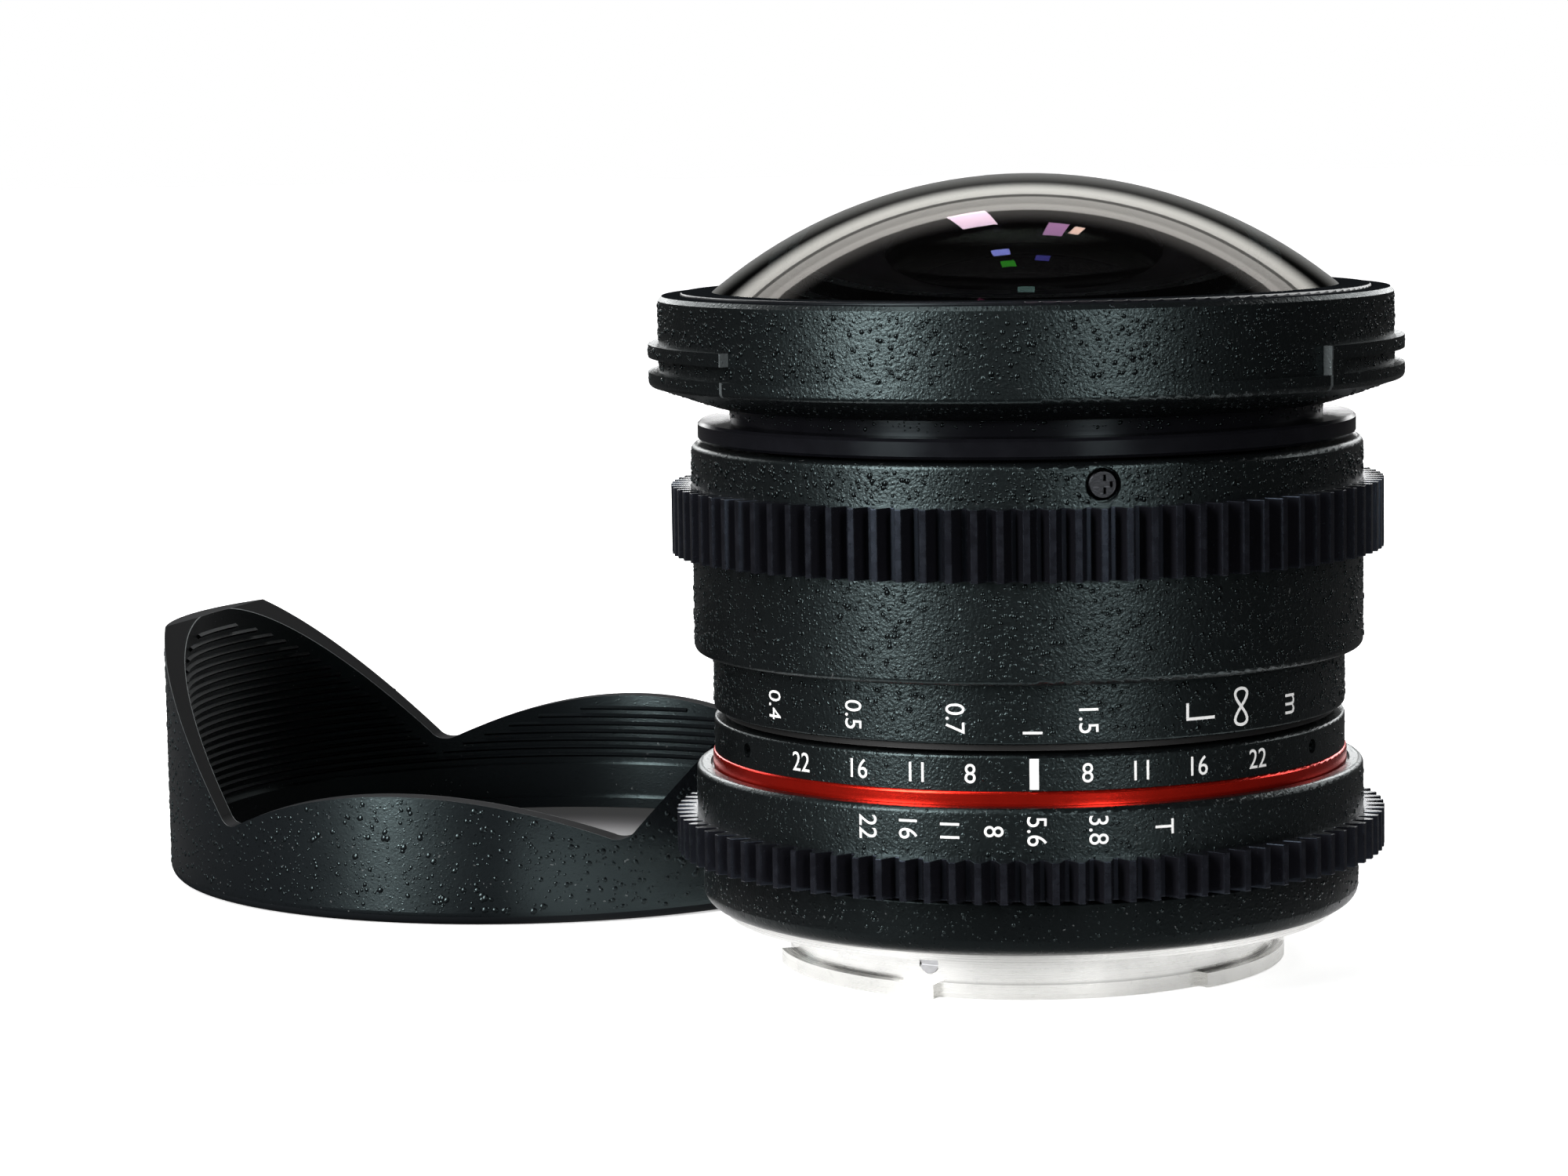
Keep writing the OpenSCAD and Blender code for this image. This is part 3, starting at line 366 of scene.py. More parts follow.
def spatter_paint(name, base, rough, cell, height, sheen, gloss=0.5, highlight_mask=None):
    """Near-black paint with a fine mist of drops on a leathery ground"""
    shade = Shade(name)
    place = shade.place()
    bent = shade.moved(place, shade.noise(place, 0.4 * MM, 1.0, "Color"), 0.25 * MM)
    mist = droplets(shade, bent, cell, low=0.2, high=0.42, part=0.6)
    ground = shade.noise(place, 0.3 * MM, 3.0)
    broad = shade.noise(place, 6.0 * MM, 2.0)
    dust = (shade.noise(place, 0.42 * MM, 1.0) > 0.74) * (broad > 0.52)
    tone = shade.mix(dust * 0.25, shade.mix(mist, base, tinted(base, 0.5)), DUST)
    # Painted highlight: the lit end faces of the lugs are coloured light grey
    if highlight_mask:
        tone = shade.mix(highlight_mask(shade, place), tone, LUG_END_HIGHLIGHT)
    return shade.coat(
        Base_Color=tone,
        Roughness=rough + ground * 0.06 - mist * 0.05 + broad * 0.04,
        Normal=shade.bump(mist * 0.7 + ground, height),
        Specular_Tint=(*sheen, 1.0),
        Specular_IOR_Level=gloss,
    )


def dull(material, mask, gloss=0.0):
    """Covers a material with matt black where a mask of the place is 1"""
    shade = Shade(material)
    shade.cover(mask(*shade.axes(shade.place())), shade.node("ShaderNodeBsdfPrincipled", None, {
        "Base Color": (*MATT_BLACK, 1.0), "Roughness": 0.5, "Specular IOR Level": gloss,
    }))


def dull_top(node):
    """Dulls the flat top of a node, which is seen almost edge-on"""
    below = 0.03 * MM
    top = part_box(node)[1][2] - below
    dull(frame["nodes"][node].data.materials[0], lambda x, y, z: z > top)


def satin_metal(name, base, rough, line, depth, streak, gloss=0.14):
    """Anodised metal with lathe rings and faint rubbed patches"""
    shade = Shade(name)
    place = shade.place()
    rings = shade.turned(place, line)
    rub = shade.noise(place, 2.4 * MM, 3.0)
    return shade.coat(
        Base_Color=shade.mix((rub - 0.45).clamped() * streak, base, tinted(base, 2.6)),
        Roughness=rough + rub * 0.12 + rings * 0.08,
        Normal=shade.bump(rings, depth),
        Specular_Tint=(0.78, 0.95, 1.0, 1.0),
        Specular_IOR_Level=gloss,
    )


class PaintRings(bpy.types.Operator):
    """Paints the base, the rings and the front rim"""
    bl_idname = "lens.paint_rings"
    bl_label = "Paint rings"

    def execute(self, context):
        look = context.scene.lens_finish
        grain = (look.paint_rough, look.mist_cell, look.mist_height, look.paint_sheen)
        paint = spatter_paint("spatter_paint", look.paint, *grain)
        wear(["index_ring", "aperture_ring", "focus_ring", "focus_cap"], paint)
        wear(["front_rim"], spatter_paint("rim_paint", look.paint, *grain, highlight_mask=lug_ends))
        dull_top("front_rim")
        smooth = (look.paint_rough, look.mist_cell, look.mist_height / 2, look.paint_sheen)
        wear(["rear_barrel"], spatter_paint("base_paint", look.paint, *smooth, gloss=0.1))
        return {"FINISHED"}


class CutGears(bpy.types.Operator):
    """Finishes the two gear rings in satin black, with cutter marks along the teeth"""
    bl_idname = "lens.cut_gears"
    bl_label = "Cut gears"
    tip_radius = 37.3 * MM
    tip_fade = 0.3 * MM
    edge_round = 0.16 * MM
    worn_black = (0.02, 0.022, 0.028)

    def execute(self, context):
        look = context.scene.lens_finish
        shade = Shade("cut_gear")
        place = shade.place()
        x, y, z = shade.axes(place)
        along = shade.node("ShaderNodeCombineXYZ", None, {"X": x, "Y": y, "Z": z * 0.04})
        marks = shade.noise(along, 0.12 * MM, 2.0)
        rub = shade.noise(place, 1.1 * MM, 3.0)
        tip = ((distance(x, y) - self.tip_radius) / self.tip_fade).clamped()
        specks = shade.noise(place, 0.35 * MM, 1.0) > 0.745
        worn = (tip * (rub - 0.4) * 2.0 + specks * 0.5).clamped()
        soft = shade.node("ShaderNodeBevel", {"samples": 4}, {"Radius": self.edge_round})
        wear(["focus_gear", "aperture_gear"], shade.coat(
            Base_Color=shade.mix(worn * 0.5, look.satin, self.worn_black),
            Roughness=0.14 + rub * 0.08 + marks * 0.04,
            Normal=shade.bump(marks + rub * 0.4, 0.004 * MM, normal=soft),
            Specular_Tint=(0.6, 0.76, 1.0, 1.0),
            Specular_IOR_Level=0.33,
        ))
        return {"FINISHED"}


class TurnFront(bpy.types.Operator):
    """Finishes the disc, the neck and the bezel in satin black"""
    bl_idname = "lens.turn_front"
    bl_label = "Turn front"

    def execute(self, context):
        look = context.scene.lens_finish
        wear(["front_barrel"], satin_metal("satin_black", look.satin, rough=0.13, line=0.1 * MM, depth=0.003 * MM,
                                           streak=0.6, gloss=0.11))
        wear(["front_bezel"], satin_metal("bezel_black", tinted(look.satin, 0.7), rough=0.24, line=0.16 * MM,
                                          depth=0.006 * MM, streak=0.5))
        dull_top("front_bezel")
        return {"FINISHED"}


class RedRing(bpy.types.Operator):
    """Anodises the red ring"""
    bl_idname = "lens.red_ring"
    bl_label = "Red ring"

    def execute(self, context):
        look = context.scene.lens_finish
        shade = Shade("red_anodised")
        place = shade.place()
        rings = shade.turned(place, 0.07 * MM)
        rub = shade.noise(place, 1.6 * MM, 2.0)
        wear(["red_ring"], shade.coat(
            Base_Color=shade.mix(rub * 0.5, look.red, tinted(look.red, 0.6)),
            Roughness=0.17 + rings * 0.1,
            Metallic=0.92,
            Normal=shade.bump(rings, 0.005 * MM),
        ))
        return {"FINISHED"}


class ChromeMount(bpy.types.Operator):
    """Finishes the camera mount in turned chrome, with dark lines of painted shadow where it meets other pieces,
    and painted shade on the barrel under the flange
    """
    bl_idname = "lens.chrome_mount"
    bl_label = "Chrome mount"
    barrel_radius = 26.3 * MM
    seat = 5.2 * MM
    lug = 1.5 * MM
    # Heights where each dark line of painted shadow starts and is full: two below the seat, one above it and one
    # above the lugs
    flange_shadow_line = (seat - 1.4 * MM, seat - 1.0 * MM)
    flange_shade_ramp = (seat - 2.8 * MM, seat - 0.8 * MM)
    seam_shadow_line = (seat + 0.6 * MM, seat + 0.75 * MM)
    lug_shadow_line = (lug, lug + 0.4 * MM)

    def execute(self, context):
        look = context.scene.lens_finish
        shade = Shade("turned_chrome")
        place = shade.place()
        rings = shade.turned(place, 0.09 * MM)
        rub = shade.noise(place, 3.2 * MM, 4.0)
        stain = (shade.noise(place, 1.2 * MM, 3.0) > 0.66) * 0.3
        x, y, z = shade.axes(place)
        barrel = distance(x, y) < self.barrel_radius
        # Painted shadow under the flange and above the lugs, painted shade darkening the barrel towards the flange,
        # and painted shadow on the flange where it meets the base
        flange_shadow = barrel * shade.ramp(z, *self.flange_shadow_line) * 0.6
        flange_shade = barrel * shade.ramp(z, *self.flange_shade_ramp) * 0.25
        foot = barrel * (z > self.lug) * (1.0 - shade.ramp(z, *self.lug_shadow_line)) * 0.5
        seam_shadow = (1.0 - barrel) * shade.ramp(z, *self.seam_shadow_line)
        polish = shade.mix((rub * 0.6 + stain).clamped(), look.chrome, tinted(look.chrome, 0.76))
        wear(["mount_bayonet"], shade.coat(
            Base_Color=shade.mix((flange_shadow + flange_shade + foot + seam_shadow).clamped() * 0.8, polish, tinted(look.chrome, 0.1)),
            Roughness=0.14 + rings * 0.16 + rub * 0.08,
            Metallic=1.0,
            Normal=shade.bump(rings, 0.006 * MM),
        ))
        return {"FINISHED"}


class FinishScrews(bpy.types.Operator):
    """Finishes the screws, pins and rollers"""
    bl_idname = "lens.finish_screws"
    bl_label = "Finish screws"

    def steel(self, name, base, rough):
        shade = Shade(name)
        place = shade.place()
        grain = shade.noise(place, 0.2 * MM, 3.0)
        rub = shade.noise(place, 0.9 * MM, 3.0)
        return shade.coat(
            Base_Color=shade.mix((rub - 0.3).clamped(), base, tinted(base, 1.8)),
            Roughness=rough + grain * 0.12,
            Metallic=1.0,
            Normal=shade.bump(grain, 0.006 * MM),
        )

    def execute(self, context):
        bright = self.steel("bright_steel", (0.36, 0.36, 0.37), rough=0.24)
        black = self.steel("black_oxide", (0.02, 0.021, 0.023), rough=0.18)
        wear(["mount_screws", "baffle_screws", "focus_stop_pin", "aperture_drive_pin", "cam_rollers"], bright)
        wear(["focus_screws", "index_set_screws"], black)
        return {"FINISHED"}


class BlackenInside(bpy.types.Operator):
    """Blackens the cells and barrels, and finishes the sleeve and the diaphragm"""
    bl_idname = "lens.blacken_inside"
    bl_label = "Blacken inside"
    sleeve_foot = 28.0 * MM
    brass = ((0.62, 0.42, 0.16), (0.5, 0.31, 0.1))
    foot_black = (0.006, 0.006, 0.006)
    blued_steel = ((0.03, 0.032, 0.04), (0.07, 0.07, 0.075))

    def execute(self, context):
        look = context.scene.lens_finish
        wear(["rear_baffle", "fixed_barrel", "focus_retaining_ring", "lens_barrel", "element_2_retainer",
              "front_cell", "element_3_retainer", "front_doublet_retainer", "diaphragm_housing", "rear_cell",
              "rear_spacer", "rear_retainer"],
             satin_metal("inner_black", look.inside, rough=0.6, line=0.35 * MM, depth=0.03 * MM, streak=0.6,
                         gloss=0.08))
        wear(["cam_sleeve"], self.sleeve())
        blades = ["blade_%d" % number for number in range(1, 7)]
        wear(["iris_ring"] + blades, self.blued())
        return {"FINISHED"}

    def sleeve(self):
        """Brass, black at the foot"""
        shade = Shade("machined_brass")
        place = shade.place()
        rings = shade.turned(place, 0.12 * MM)
        rub = shade.noise(place, 2.0 * MM, 3.0)
        foot = shade.axes(place)[2] < self.sleeve_foot
        brass = shade.mix(rub, *self.brass)
        return shade.coat(
            Base_Color=shade.mix(foot, brass, self.foot_black),
            Roughness=0.24 + rings * 0.14 + foot * 0.2,
            Metallic=1.0 - foot,
            Normal=shade.bump(rings, 0.008 * MM),
        )

    def blued(self):
        """Rolled steel, with lines along one way"""
        shade = Shade("blued_steel")
        place = shade.place()
        x, y, z = shade.axes(place)
        drawn = shade.node("ShaderNodeCombineXYZ", None, {"X": x * 0.06, "Y": y, "Z": z})
        lines = shade.noise(drawn, 0.15 * MM, 2.0)
        return shade.coat(
            Base_Color=shade.mix(lines, *self.blued_steel),
            Roughness=0.32 + lines * 0.15,
            Metallic=0.9,
            Normal=shade.bump(lines, 0.004 * MM),
        )


class CoatGlass(bpy.types.Operator):
    """Polishes and coats the glasses"""
    bl_idname = "lens.coat_glass"
    bl_label = "Coat glass"
    # Radius of the front glass, least depth of its hollow side, and width of the black on rims and seats
    dome = 51.43 * MM
    hollow = 0.2 * MM
    rim_paint = 0.1 * MM
    seat_paint = 0.05 * MM
    film_index = 1.38
    seated = ("element_1", "element_2", "element_3")
    # Tint, sheen of the coating, refractive index, thickness of the coating in nanometres
    front = ((0.92, 0.92, 0.91), (0.94, 1.0, 0.96), 1.55, 116.0)
    blue = ((0.8, 0.78, 0.8), (0.35, 0.5, 1.0), 1.04, 0.0)
    green = ((0.8, 0.82, 0.8), (0.3, 1.0, 0.45), 1.1, 0.0)
    magenta = ((0.82, 0.78, 0.8), (1.0, 0.45, 0.85), 1.5, 100.0)

    def glass(self, node, tint, sheen, index, film):
        """Clear, coated glass whose rim and seat are painted black"""
        shade = Shade(node + "_glass")
        place = shade.place()
        haze = shade.noise(place, 5.0 * MM, 3.0)
        material = shade.coat(
            Base_Color=(*tint, 1.0),
            Roughness=(haze - 0.5).clamped() * 0.02,
            IOR=index,
            Transmission_Weight=1.0,
            Specular_Tint=(*sheen, 1.0),
            Thin_Film_Thickness=film,
            Thin_Film_IOR=self.film_index,
        )
        low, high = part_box(node)
        x, y, z = shade.axes(place)
        rim = distance(x, y) > (high[0] - low[0]) / 2 - self.rim_paint
        seat = (z < low[2] + self.seat_paint) if node in self.seated else 0.0
        black = shade.node("ShaderNodeBsdfPrincipled", None, {
            "Base Color": (0.002, 0.002, 0.002, 1.0), "Roughness": 0.7 + haze * 0.1, "Specular IOR Level": 0.1,
        })
        if node == "element_1":
            shade.cover(self.rear(x, y, z, high[2]), self.soft_rear(shade, tint))
        shade.cover(rim.math("MAXIMUM", seat), black)
        return material

    def rear(self, x, y, z, apex):
        """1 on the hollow side of the front glass"""
        up = z - (apex - self.dome)
        return distance(x, y, up) < self.dome - self.hollow

    def soft_rear(self, shade, tint):
        """Fully coated glass, which hardly bends or mirrors"""
        return shade.node("ShaderNodeBsdfPrincipled", None, {
            "Base Color": (*tint, 1.0), "Roughness": 0.0, "IOR": 1.03, "Transmission Weight": 1.0,
        })

    def execute(self, context):
        coats = (self.front, self.blue, self.green, self.magenta, self.magenta, self.blue, self.green, self.magenta,
                 self.blue, self.green)
        for number, coating in enumerate(coats, 1):
            node = "element_%d" % number
            wear([node], self.glass(node, *coating))
        return {"FINISHED"}


def add_piece(name, mesh, body, material):
    """A new mesh piece that rides on a CAD body"""
    piece = bpy.data.objects.new(name, mesh)
    bpy.context.scene.collection.objects.link(piece)
    mesh.materials.clear()
    mesh.materials.append(material)
    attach(piece, body)


def glyphs(text):
    """Solid letters of a text, one unit thick"""
    curve = bpy.data.curves.new("glyphs", "FONT")
    curve.body = text
    curve.extrude = 0.5
    curve.resolution_u = 6
    holder = bpy.data.objects.new("glyphs", curve)
    bpy.context.scene.collection.objects.link(holder)
    seen = holder.evaluated_get(bpy.context.evaluated_depsgraph_get())
    mesh = bpy.data.meshes.new_from_object(seen)
    bpy.data.objects.remove(holder)
    bpy.data.curves.remove(curve)
    solid = bmesh.new()
    solid.from_mesh(mesh)
    bpy.data.meshes.remove(mesh)
    bmesh.ops.remove_doubles(solid, verts=solid.verts, dist=1e-5)
    return solid


def ribbon(solid, points, width, closed=False):
    """Adds a flat stroke along points, one unit thick"""
    count = len(points)
    edges = []
    for i, point in enumerate(points):
        before = points[i - 1] if closed or i > 0 else point
        after = points[(i + 1) % count] if closed or i < count - 1 else point
        along = (after - before).normalized()
        side = Vector((-along.y, along.x)) * width / 2
        edges.append([[solid.verts.new((*(point + side * way), level)) for way in (-1, 1)]
                      for level in (-0.5, 0.5)])
    steps = count if closed else count - 1
    for i in range(steps):
        (a, b), (c, d) = edges[i]
        (e, f), (g, h) = edges[(i + 1) % count]
        for corners in ((c, g, h, d), (a, b, f, e), (a, e, g, c), (b, d, h, f)):
            solid.faces.new(corners)
    if not closed:
        for (a, b), (c, d) in (edges[0], edges[-1]):
            solid.faces.new((a, c, d, b))
    bmesh.ops.recalc_face_normals(solid, faces=solid.faces)


def wrap(solid, radius, start, height, lift, upright=False):
    """Rolls flat marks on to a ring, sunk by a tenth of their lift. Sideways marks read from the top down."""
    for vert in solid.verts:
        along, up, level = vert.co
        across, down = (along, -up) if upright else (up, along)
        turn = start + across / radius
        out = radius + (level + 0.4) * lift
        vert.co = (out * math.sin(turn), -out * math.cos(turn), height - down)
    bmesh.ops.recalc_face_normals(solid, faces=solid.faces)


def span(solid, axis):
    """Least and greatest place of some marks along an axis"""
    values = [vert.co[axis] for vert in solid.verts]
    return min(values), max(values)


def sized(solid, tall, width=0.92):
    """Scales marks to a height, with the middle of that height at zero"""
    low, high = span(solid, 1)
    scale = tall / (high - low)
    left = span(solid, 0)[0]
    for vert in solid.verts:
        vert.co.x = (vert.co.x - left) * scale * width
        vert.co.y = (vert.co.y - (low + high) / 2) * scale
    return solid


# Body, turns and heights of each mark, which the drops of paint keep clear of
MARKS = []


class MarkBase:
    """Shared by the operators that letter a ring"""

    def ink(self, context):
        """White paint, made once for all the marks"""
        look = context.scene.lens_scale
        existing = bpy.data.materials.get("white_ink")
        if existing:
            return existing
        shade = Shade("white_ink")
        place = shade.place()
        worn = (shade.noise(place, 0.35 * MM, 3.0) - 0.56).clamped() * 2.0
        grain = shade.noise(place, 0.12 * MM, 2.0)
        return shade.coat(
            Base_Color=shade.mix(worn, look.ink, tinted(look.ink, 0.7)),
            Roughness=0.5 + grain * 0.15,
            Normal=shade.bump(grain, 0.006 * MM),
        )

    def letter(self, context, name, solid, radius, degrees, height, body, upright=False):
        """Adds marks to a ring as a piece of their own"""
        look = context.scene.lens_scale
        wrap(solid, radius, math.radians(degrees), height, look.lift, upright)
        turns = [math.atan2(vert.co.x, -vert.co.y) for vert in solid.verts]
        MARKS.append((body, min(turns), max(turns), *span(solid, 2)))
        mesh = bpy.data.meshes.new(name)
        solid.to_mesh(mesh)
        solid.free()
        add_piece(name, mesh, body, self.ink(context))

    def number(self, context, text, body, radius, degrees, height, part):
        """Letters a sideways number, with a part of its length above a height"""
        solid = sized(glyphs(text), context.scene.lens_scale.digit)
        top = height + span(solid, 0)[1] * part
        self.letter(context, body + "_" + text.replace(".", "_"), solid, radius, degrees, top, body)


class FocusScale(MarkBase, bpy.types.Operator):
    """Letters the distance scale in metres"""
    bl_idname = "lens.focus_scale"
    bl_label = "Focus scale"
    marks = (("0.3", -85.4), ("0.4", -50.35), ("0.5", -31.5), ("0.7", -12.5), ("1", 0.7), ("1.5", 10.25))
    foot = 28.3 * MM
    unit_angle = 52.3
    unit_size = 0.8
    # Bent tick and lying eight: direction in degrees and height, then width and height, halved for the eight
    tick_place = (28.2, 29.1 * MM)
    tick_size = (3.2 * MM, 1.6 * MM)
    sign_place = (39.54, 29.84 * MM)
    sign_half = (1.83 * MM, 0.8 * MM)

    def execute(self, context):
        look = context.scene.lens_scale
        for text, degrees in self.marks:
            self.number(context, text, "focus", look.band_radius, degrees, self.foot, part=1.0)
        self.far_mark(context, look)
        self.far_sign(context, look)
        unit = sized(glyphs("m"), look.digit * self.unit_size)
        top = self.foot + span(unit, 0)[1]
        self.letter(context, "focus_unit", unit, look.band_radius, self.unit_angle, top, "focus")
        return {"FINISHED"}

    def far_mark(self, context, look):
        """Bent tick that leads to the far sign"""
        solid = bmesh.new()
        wide, tall = self.tick_size
        ribbon(solid, [Vector((0, tall)), Vector((0, 0))], look.stroke)
        start = -look.stroke / 2
        ribbon(solid, [Vector((start + (wide - start) * i / 8, 0)) for i in range(9)], look.stroke)
        self.letter(context, "focus_far_tick", solid, look.band_radius, *self.tick_place, "focus", upright=True)

    def far_sign(self, context, look):
        """Lying eight, drawn with one closed stroke"""
        solid = bmesh.new()
        turns = [2 * math.pi * (i + 0.5) / 64 for i in range(64)]
        half, rise = self.sign_half
        points = [Vector((half * math.sin(t), rise * math.sin(2 * t))) for t in turns]
        ribbon(solid, points, look.stroke, closed=True)
        self.letter(context, "focus_far_sign", solid, look.band_radius, *self.sign_place, "focus")


class ApertureScale(MarkBase, bpy.types.Operator):
    """Letters the aperture scale"""
    bl_idname = "lens.aperture_scale"
    bl_label = "Aperture scale"
    marks = (("22", -26.95), ("16", -19.84), ("11", -12.85), ("8", -5.69), ("5.6", 1.2), ("3.8", 11.13),
             ("T", 22.17))
    middle = 18.9 * MM

    def execute(self, context):
        look = context.scene.lens_scale
        for text, degrees in self.marks:
            self.number(context, text, "aperture", look.ring_radius, degrees, self.middle, part=0.5)
        return {"FINISHED"}


class IndexLine(MarkBase, bpy.types.Operator):
    """Draws the index line"""
    bl_idname = "lens.index_line"
    bl_label = "Index line"
    heights = (22.75 * MM, 25.85 * MM)
    width = 0.92 * MM

    def execute(self, context):
        look = context.scene.lens_scale
        solid = bmesh.new()
        low, high = self.heights
        ribbon(solid, [Vector((0, 0)), Vector((0, high - low))], self.width)
        self.letter(context, "index_line", solid, look.band_radius, math.degrees(look.index_angle), low, "barrel",
                    upright=True)
        return {"FINISHED"}


class DepthScale(MarkBase, bpy.types.Operator):
    """Letters a plain depth-of-field scale on both sides of the index line"""
    bl_idname = "lens.depth_scale"
    bl_label = "Depth scale"
    marks = (("8", 10.0), ("11", 19.5), ("16", 30.5), ("22", 43.5))
    middle = 24.35 * MM

    def execute(self, context):
        look = context.scene.lens_scale
        for text, degrees in self.marks:
            for side in (-1, 1):
                solid = sized(glyphs(text), look.digit)
                half = span(solid, 0)[1] / 2
                for vert in solid.verts:
                    vert.co.x -= half
                self.letter(context, "depth_%s_%s" % (text, "right" if side > 0 else "left"), solid,
                            look.band_radius, side * degrees, self.middle, "barrel", upright=True)
        return {"FINISHED"}


class SpatterDrops(bpy.types.Operator):
    """Spatters raised drops of paint over the rings, the rim and the hood"""
    bl_idname = "lens.spatter_drops"
    bl_label = "Spatter drops"
    # Node, drops per square millimetre, lowest height, and how large and tall its drops are
    painted = (
        ("front_rim", 2.0, 0.0, 1.0, 1.0), ("front_barrel", 1.6, 57.8 * MM, 0.8, 1.0),
        ("focus_cap", 2.4, 0.0, 1.1, 1.0), ("focus_ring", 1.65, 0.0, 1.05, 1.0), ("index_ring", 0.7, 0.0, 0.8, 0.8),
        ("aperture_ring", 1.0, 0.0, 0.9, 0.8), ("rear_barrel", 1.0, 0.0, 0.8, 0.8), ("hood", 0.9, 0.0, 1.25, 0.6),
    )
    sides = 7
    # Where a drop may lie: how far its ground faces out, the plain room around it over its radius,
    # how flat that room is and its greatest step, and the radius that makes an angle of the edge around a mark
    facing = 0.25
    room = 1.3
    flat = 0.97
    step = 0.2 * MM
    ring_radius = 0.035
    # How drops vary: rise, stretch and outline, and the height and width of the waist
    rises = (0.7, 1.15)
    stretches = (0.8, 1.25)
    outlines = (0.85, 1.15)
    waist = (0.85, 0.76)

    def execute(self, context):
        look = context.scene.lens_spatter
        chance = random.Random(look.seed)
        finish = context.scene.lens_finish
        bead = self.bead("paint_drop", finish.paint, finish.paint_sheen, rough=0.15, gloss=0.3)
        hood_bead = self.bead("hood_drop", finish.hood, finish.paint_sheen, rough=0.26, gloss=0.3)
        for name, density, floor, size, tall in self.painted:
            node = frame["nodes"][name]
            verts, faces = [], []
            for point, normal in self.spots(look, chance, name, density, floor):
                self.drop(look, chance, size, tall, point, normal, verts, faces)
            mesh = bpy.data.meshes.new(name + "_drops")
            mesh.from_pydata(verts, [], faces)
            mesh.polygons.foreach_set("use_smooth", [len(face) < self.sides for face in faces])
            material = hood_bead if name == "hood" else bead
            add_piece(name + "_drops", mesh, body_of(node)[0], material)
        return {"FINISHED"}

    def bead(self, name, base, sheen, rough, gloss):
        """Paint of the drops, smoother than the paint around them"""
        shade = Shade(name)
        grain = shade.noise(shade.place(), 0.3 * MM, 2.0)
        return shade.coat(
            Base_Color=shade.mix(grain, base, tinted(base, 0.6)),
            Roughness=rough + grain * 0.08,
            Specular_Tint=(*sheen, 1.0),
            Specular_IOR_Level=gloss,
        )

    def spots(self, look, chance, name, density, floor):
        """Points and normals on the outside of a node, where it is smooth and unmarked"""
        low, high = (Vector(corner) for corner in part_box(name))
        low.z = max(low.z, floor)
        middle, reach = (low + high) / 2, (high.x - low.x) / 2
        tree = BVHTree.FromObject(frame["nodes"][name], bpy.context.evaluated_depsgraph_get())
        body = body_of(frame["nodes"][name])[0]
        area = 2 * math.pi * reach * (high.z - low.z) / MM ** 2

        def hit(turn, height):
            out = Vector((math.sin(turn), -math.cos(turn), 0.0))
            start = Vector((middle.x, middle.y, height)) + out * (reach + MM)
            point, normal, _, _ = tree.ray_cast(start, -out, reach)
            return (point, normal) if point and normal.dot(out) > self.facing else None

        near = look.largest * self.room
        for _ in range(round(area * density)):
            turn, height = chance.uniform(-math.pi, math.pi), chance.uniform(low.z, high.z)
            found = hit(turn, height)
            ring = [hit(turn + a / reach, height + b) for a, b in ((near, 0), (-near, 0), (0, near), (0, -near))]
            if not found or not all(ring) or self.marked(look, body, turn, height):
                continue
            if all(normal.dot(found[1]) > self.flat and abs((point - found[0]).dot(found[1])) < self.step
                   for point, normal in ring):
                yield found

    def marked(self, look, body, turn, height):
        """Whether a place lies on a mark or in the clear edge around it"""
        room, swing = look.clear, look.clear / self.ring_radius
        return any(
            body == owner and left - swing < turn < right + swing and low - room < height < high + room
            for owner, left, right, low, high in MARKS
        )

    def drop(self, look, chance, size, tall, point, normal, verts, faces):
        """One closed dome, slightly oval"""
        radius = size * (look.smallest + (look.largest - look.smallest) * chance.random() ** 3)
        rise = radius * look.rise * tall * chance.uniform(*self.rises)
        across = normal.orthogonal().normalized()
        along = normal.cross(across)
        stretch = chance.uniform(*self.stretches)
        first, start = len(verts), chance.uniform(0, math.pi)
        waist_height, waist_width = self.waist
        for level, width in ((-look.sunk, 1.0), (rise * waist_height, waist_width)):
            for i in range(self.sides):
                turn = start + 2 * math.pi * i / self.sides
                wobble = radius * width * chance.uniform(*self.outlines)
                side = across * math.cos(turn) * stretch + along * math.sin(turn)
                verts.append(point + normal * level + side * wobble)
        verts.append(point + normal * rise)
        foot = list(range(first, first + self.sides))
        waist = [i + self.sides for i in foot]
        faces.append(foot[::-1])
        for i in range(self.sides):
            k = (i + 1) % self.sides
            faces.append((foot[i], foot[k], waist[k], waist[i]))
            faces.append((waist[i], waist[k], first + 2 * self.sides))


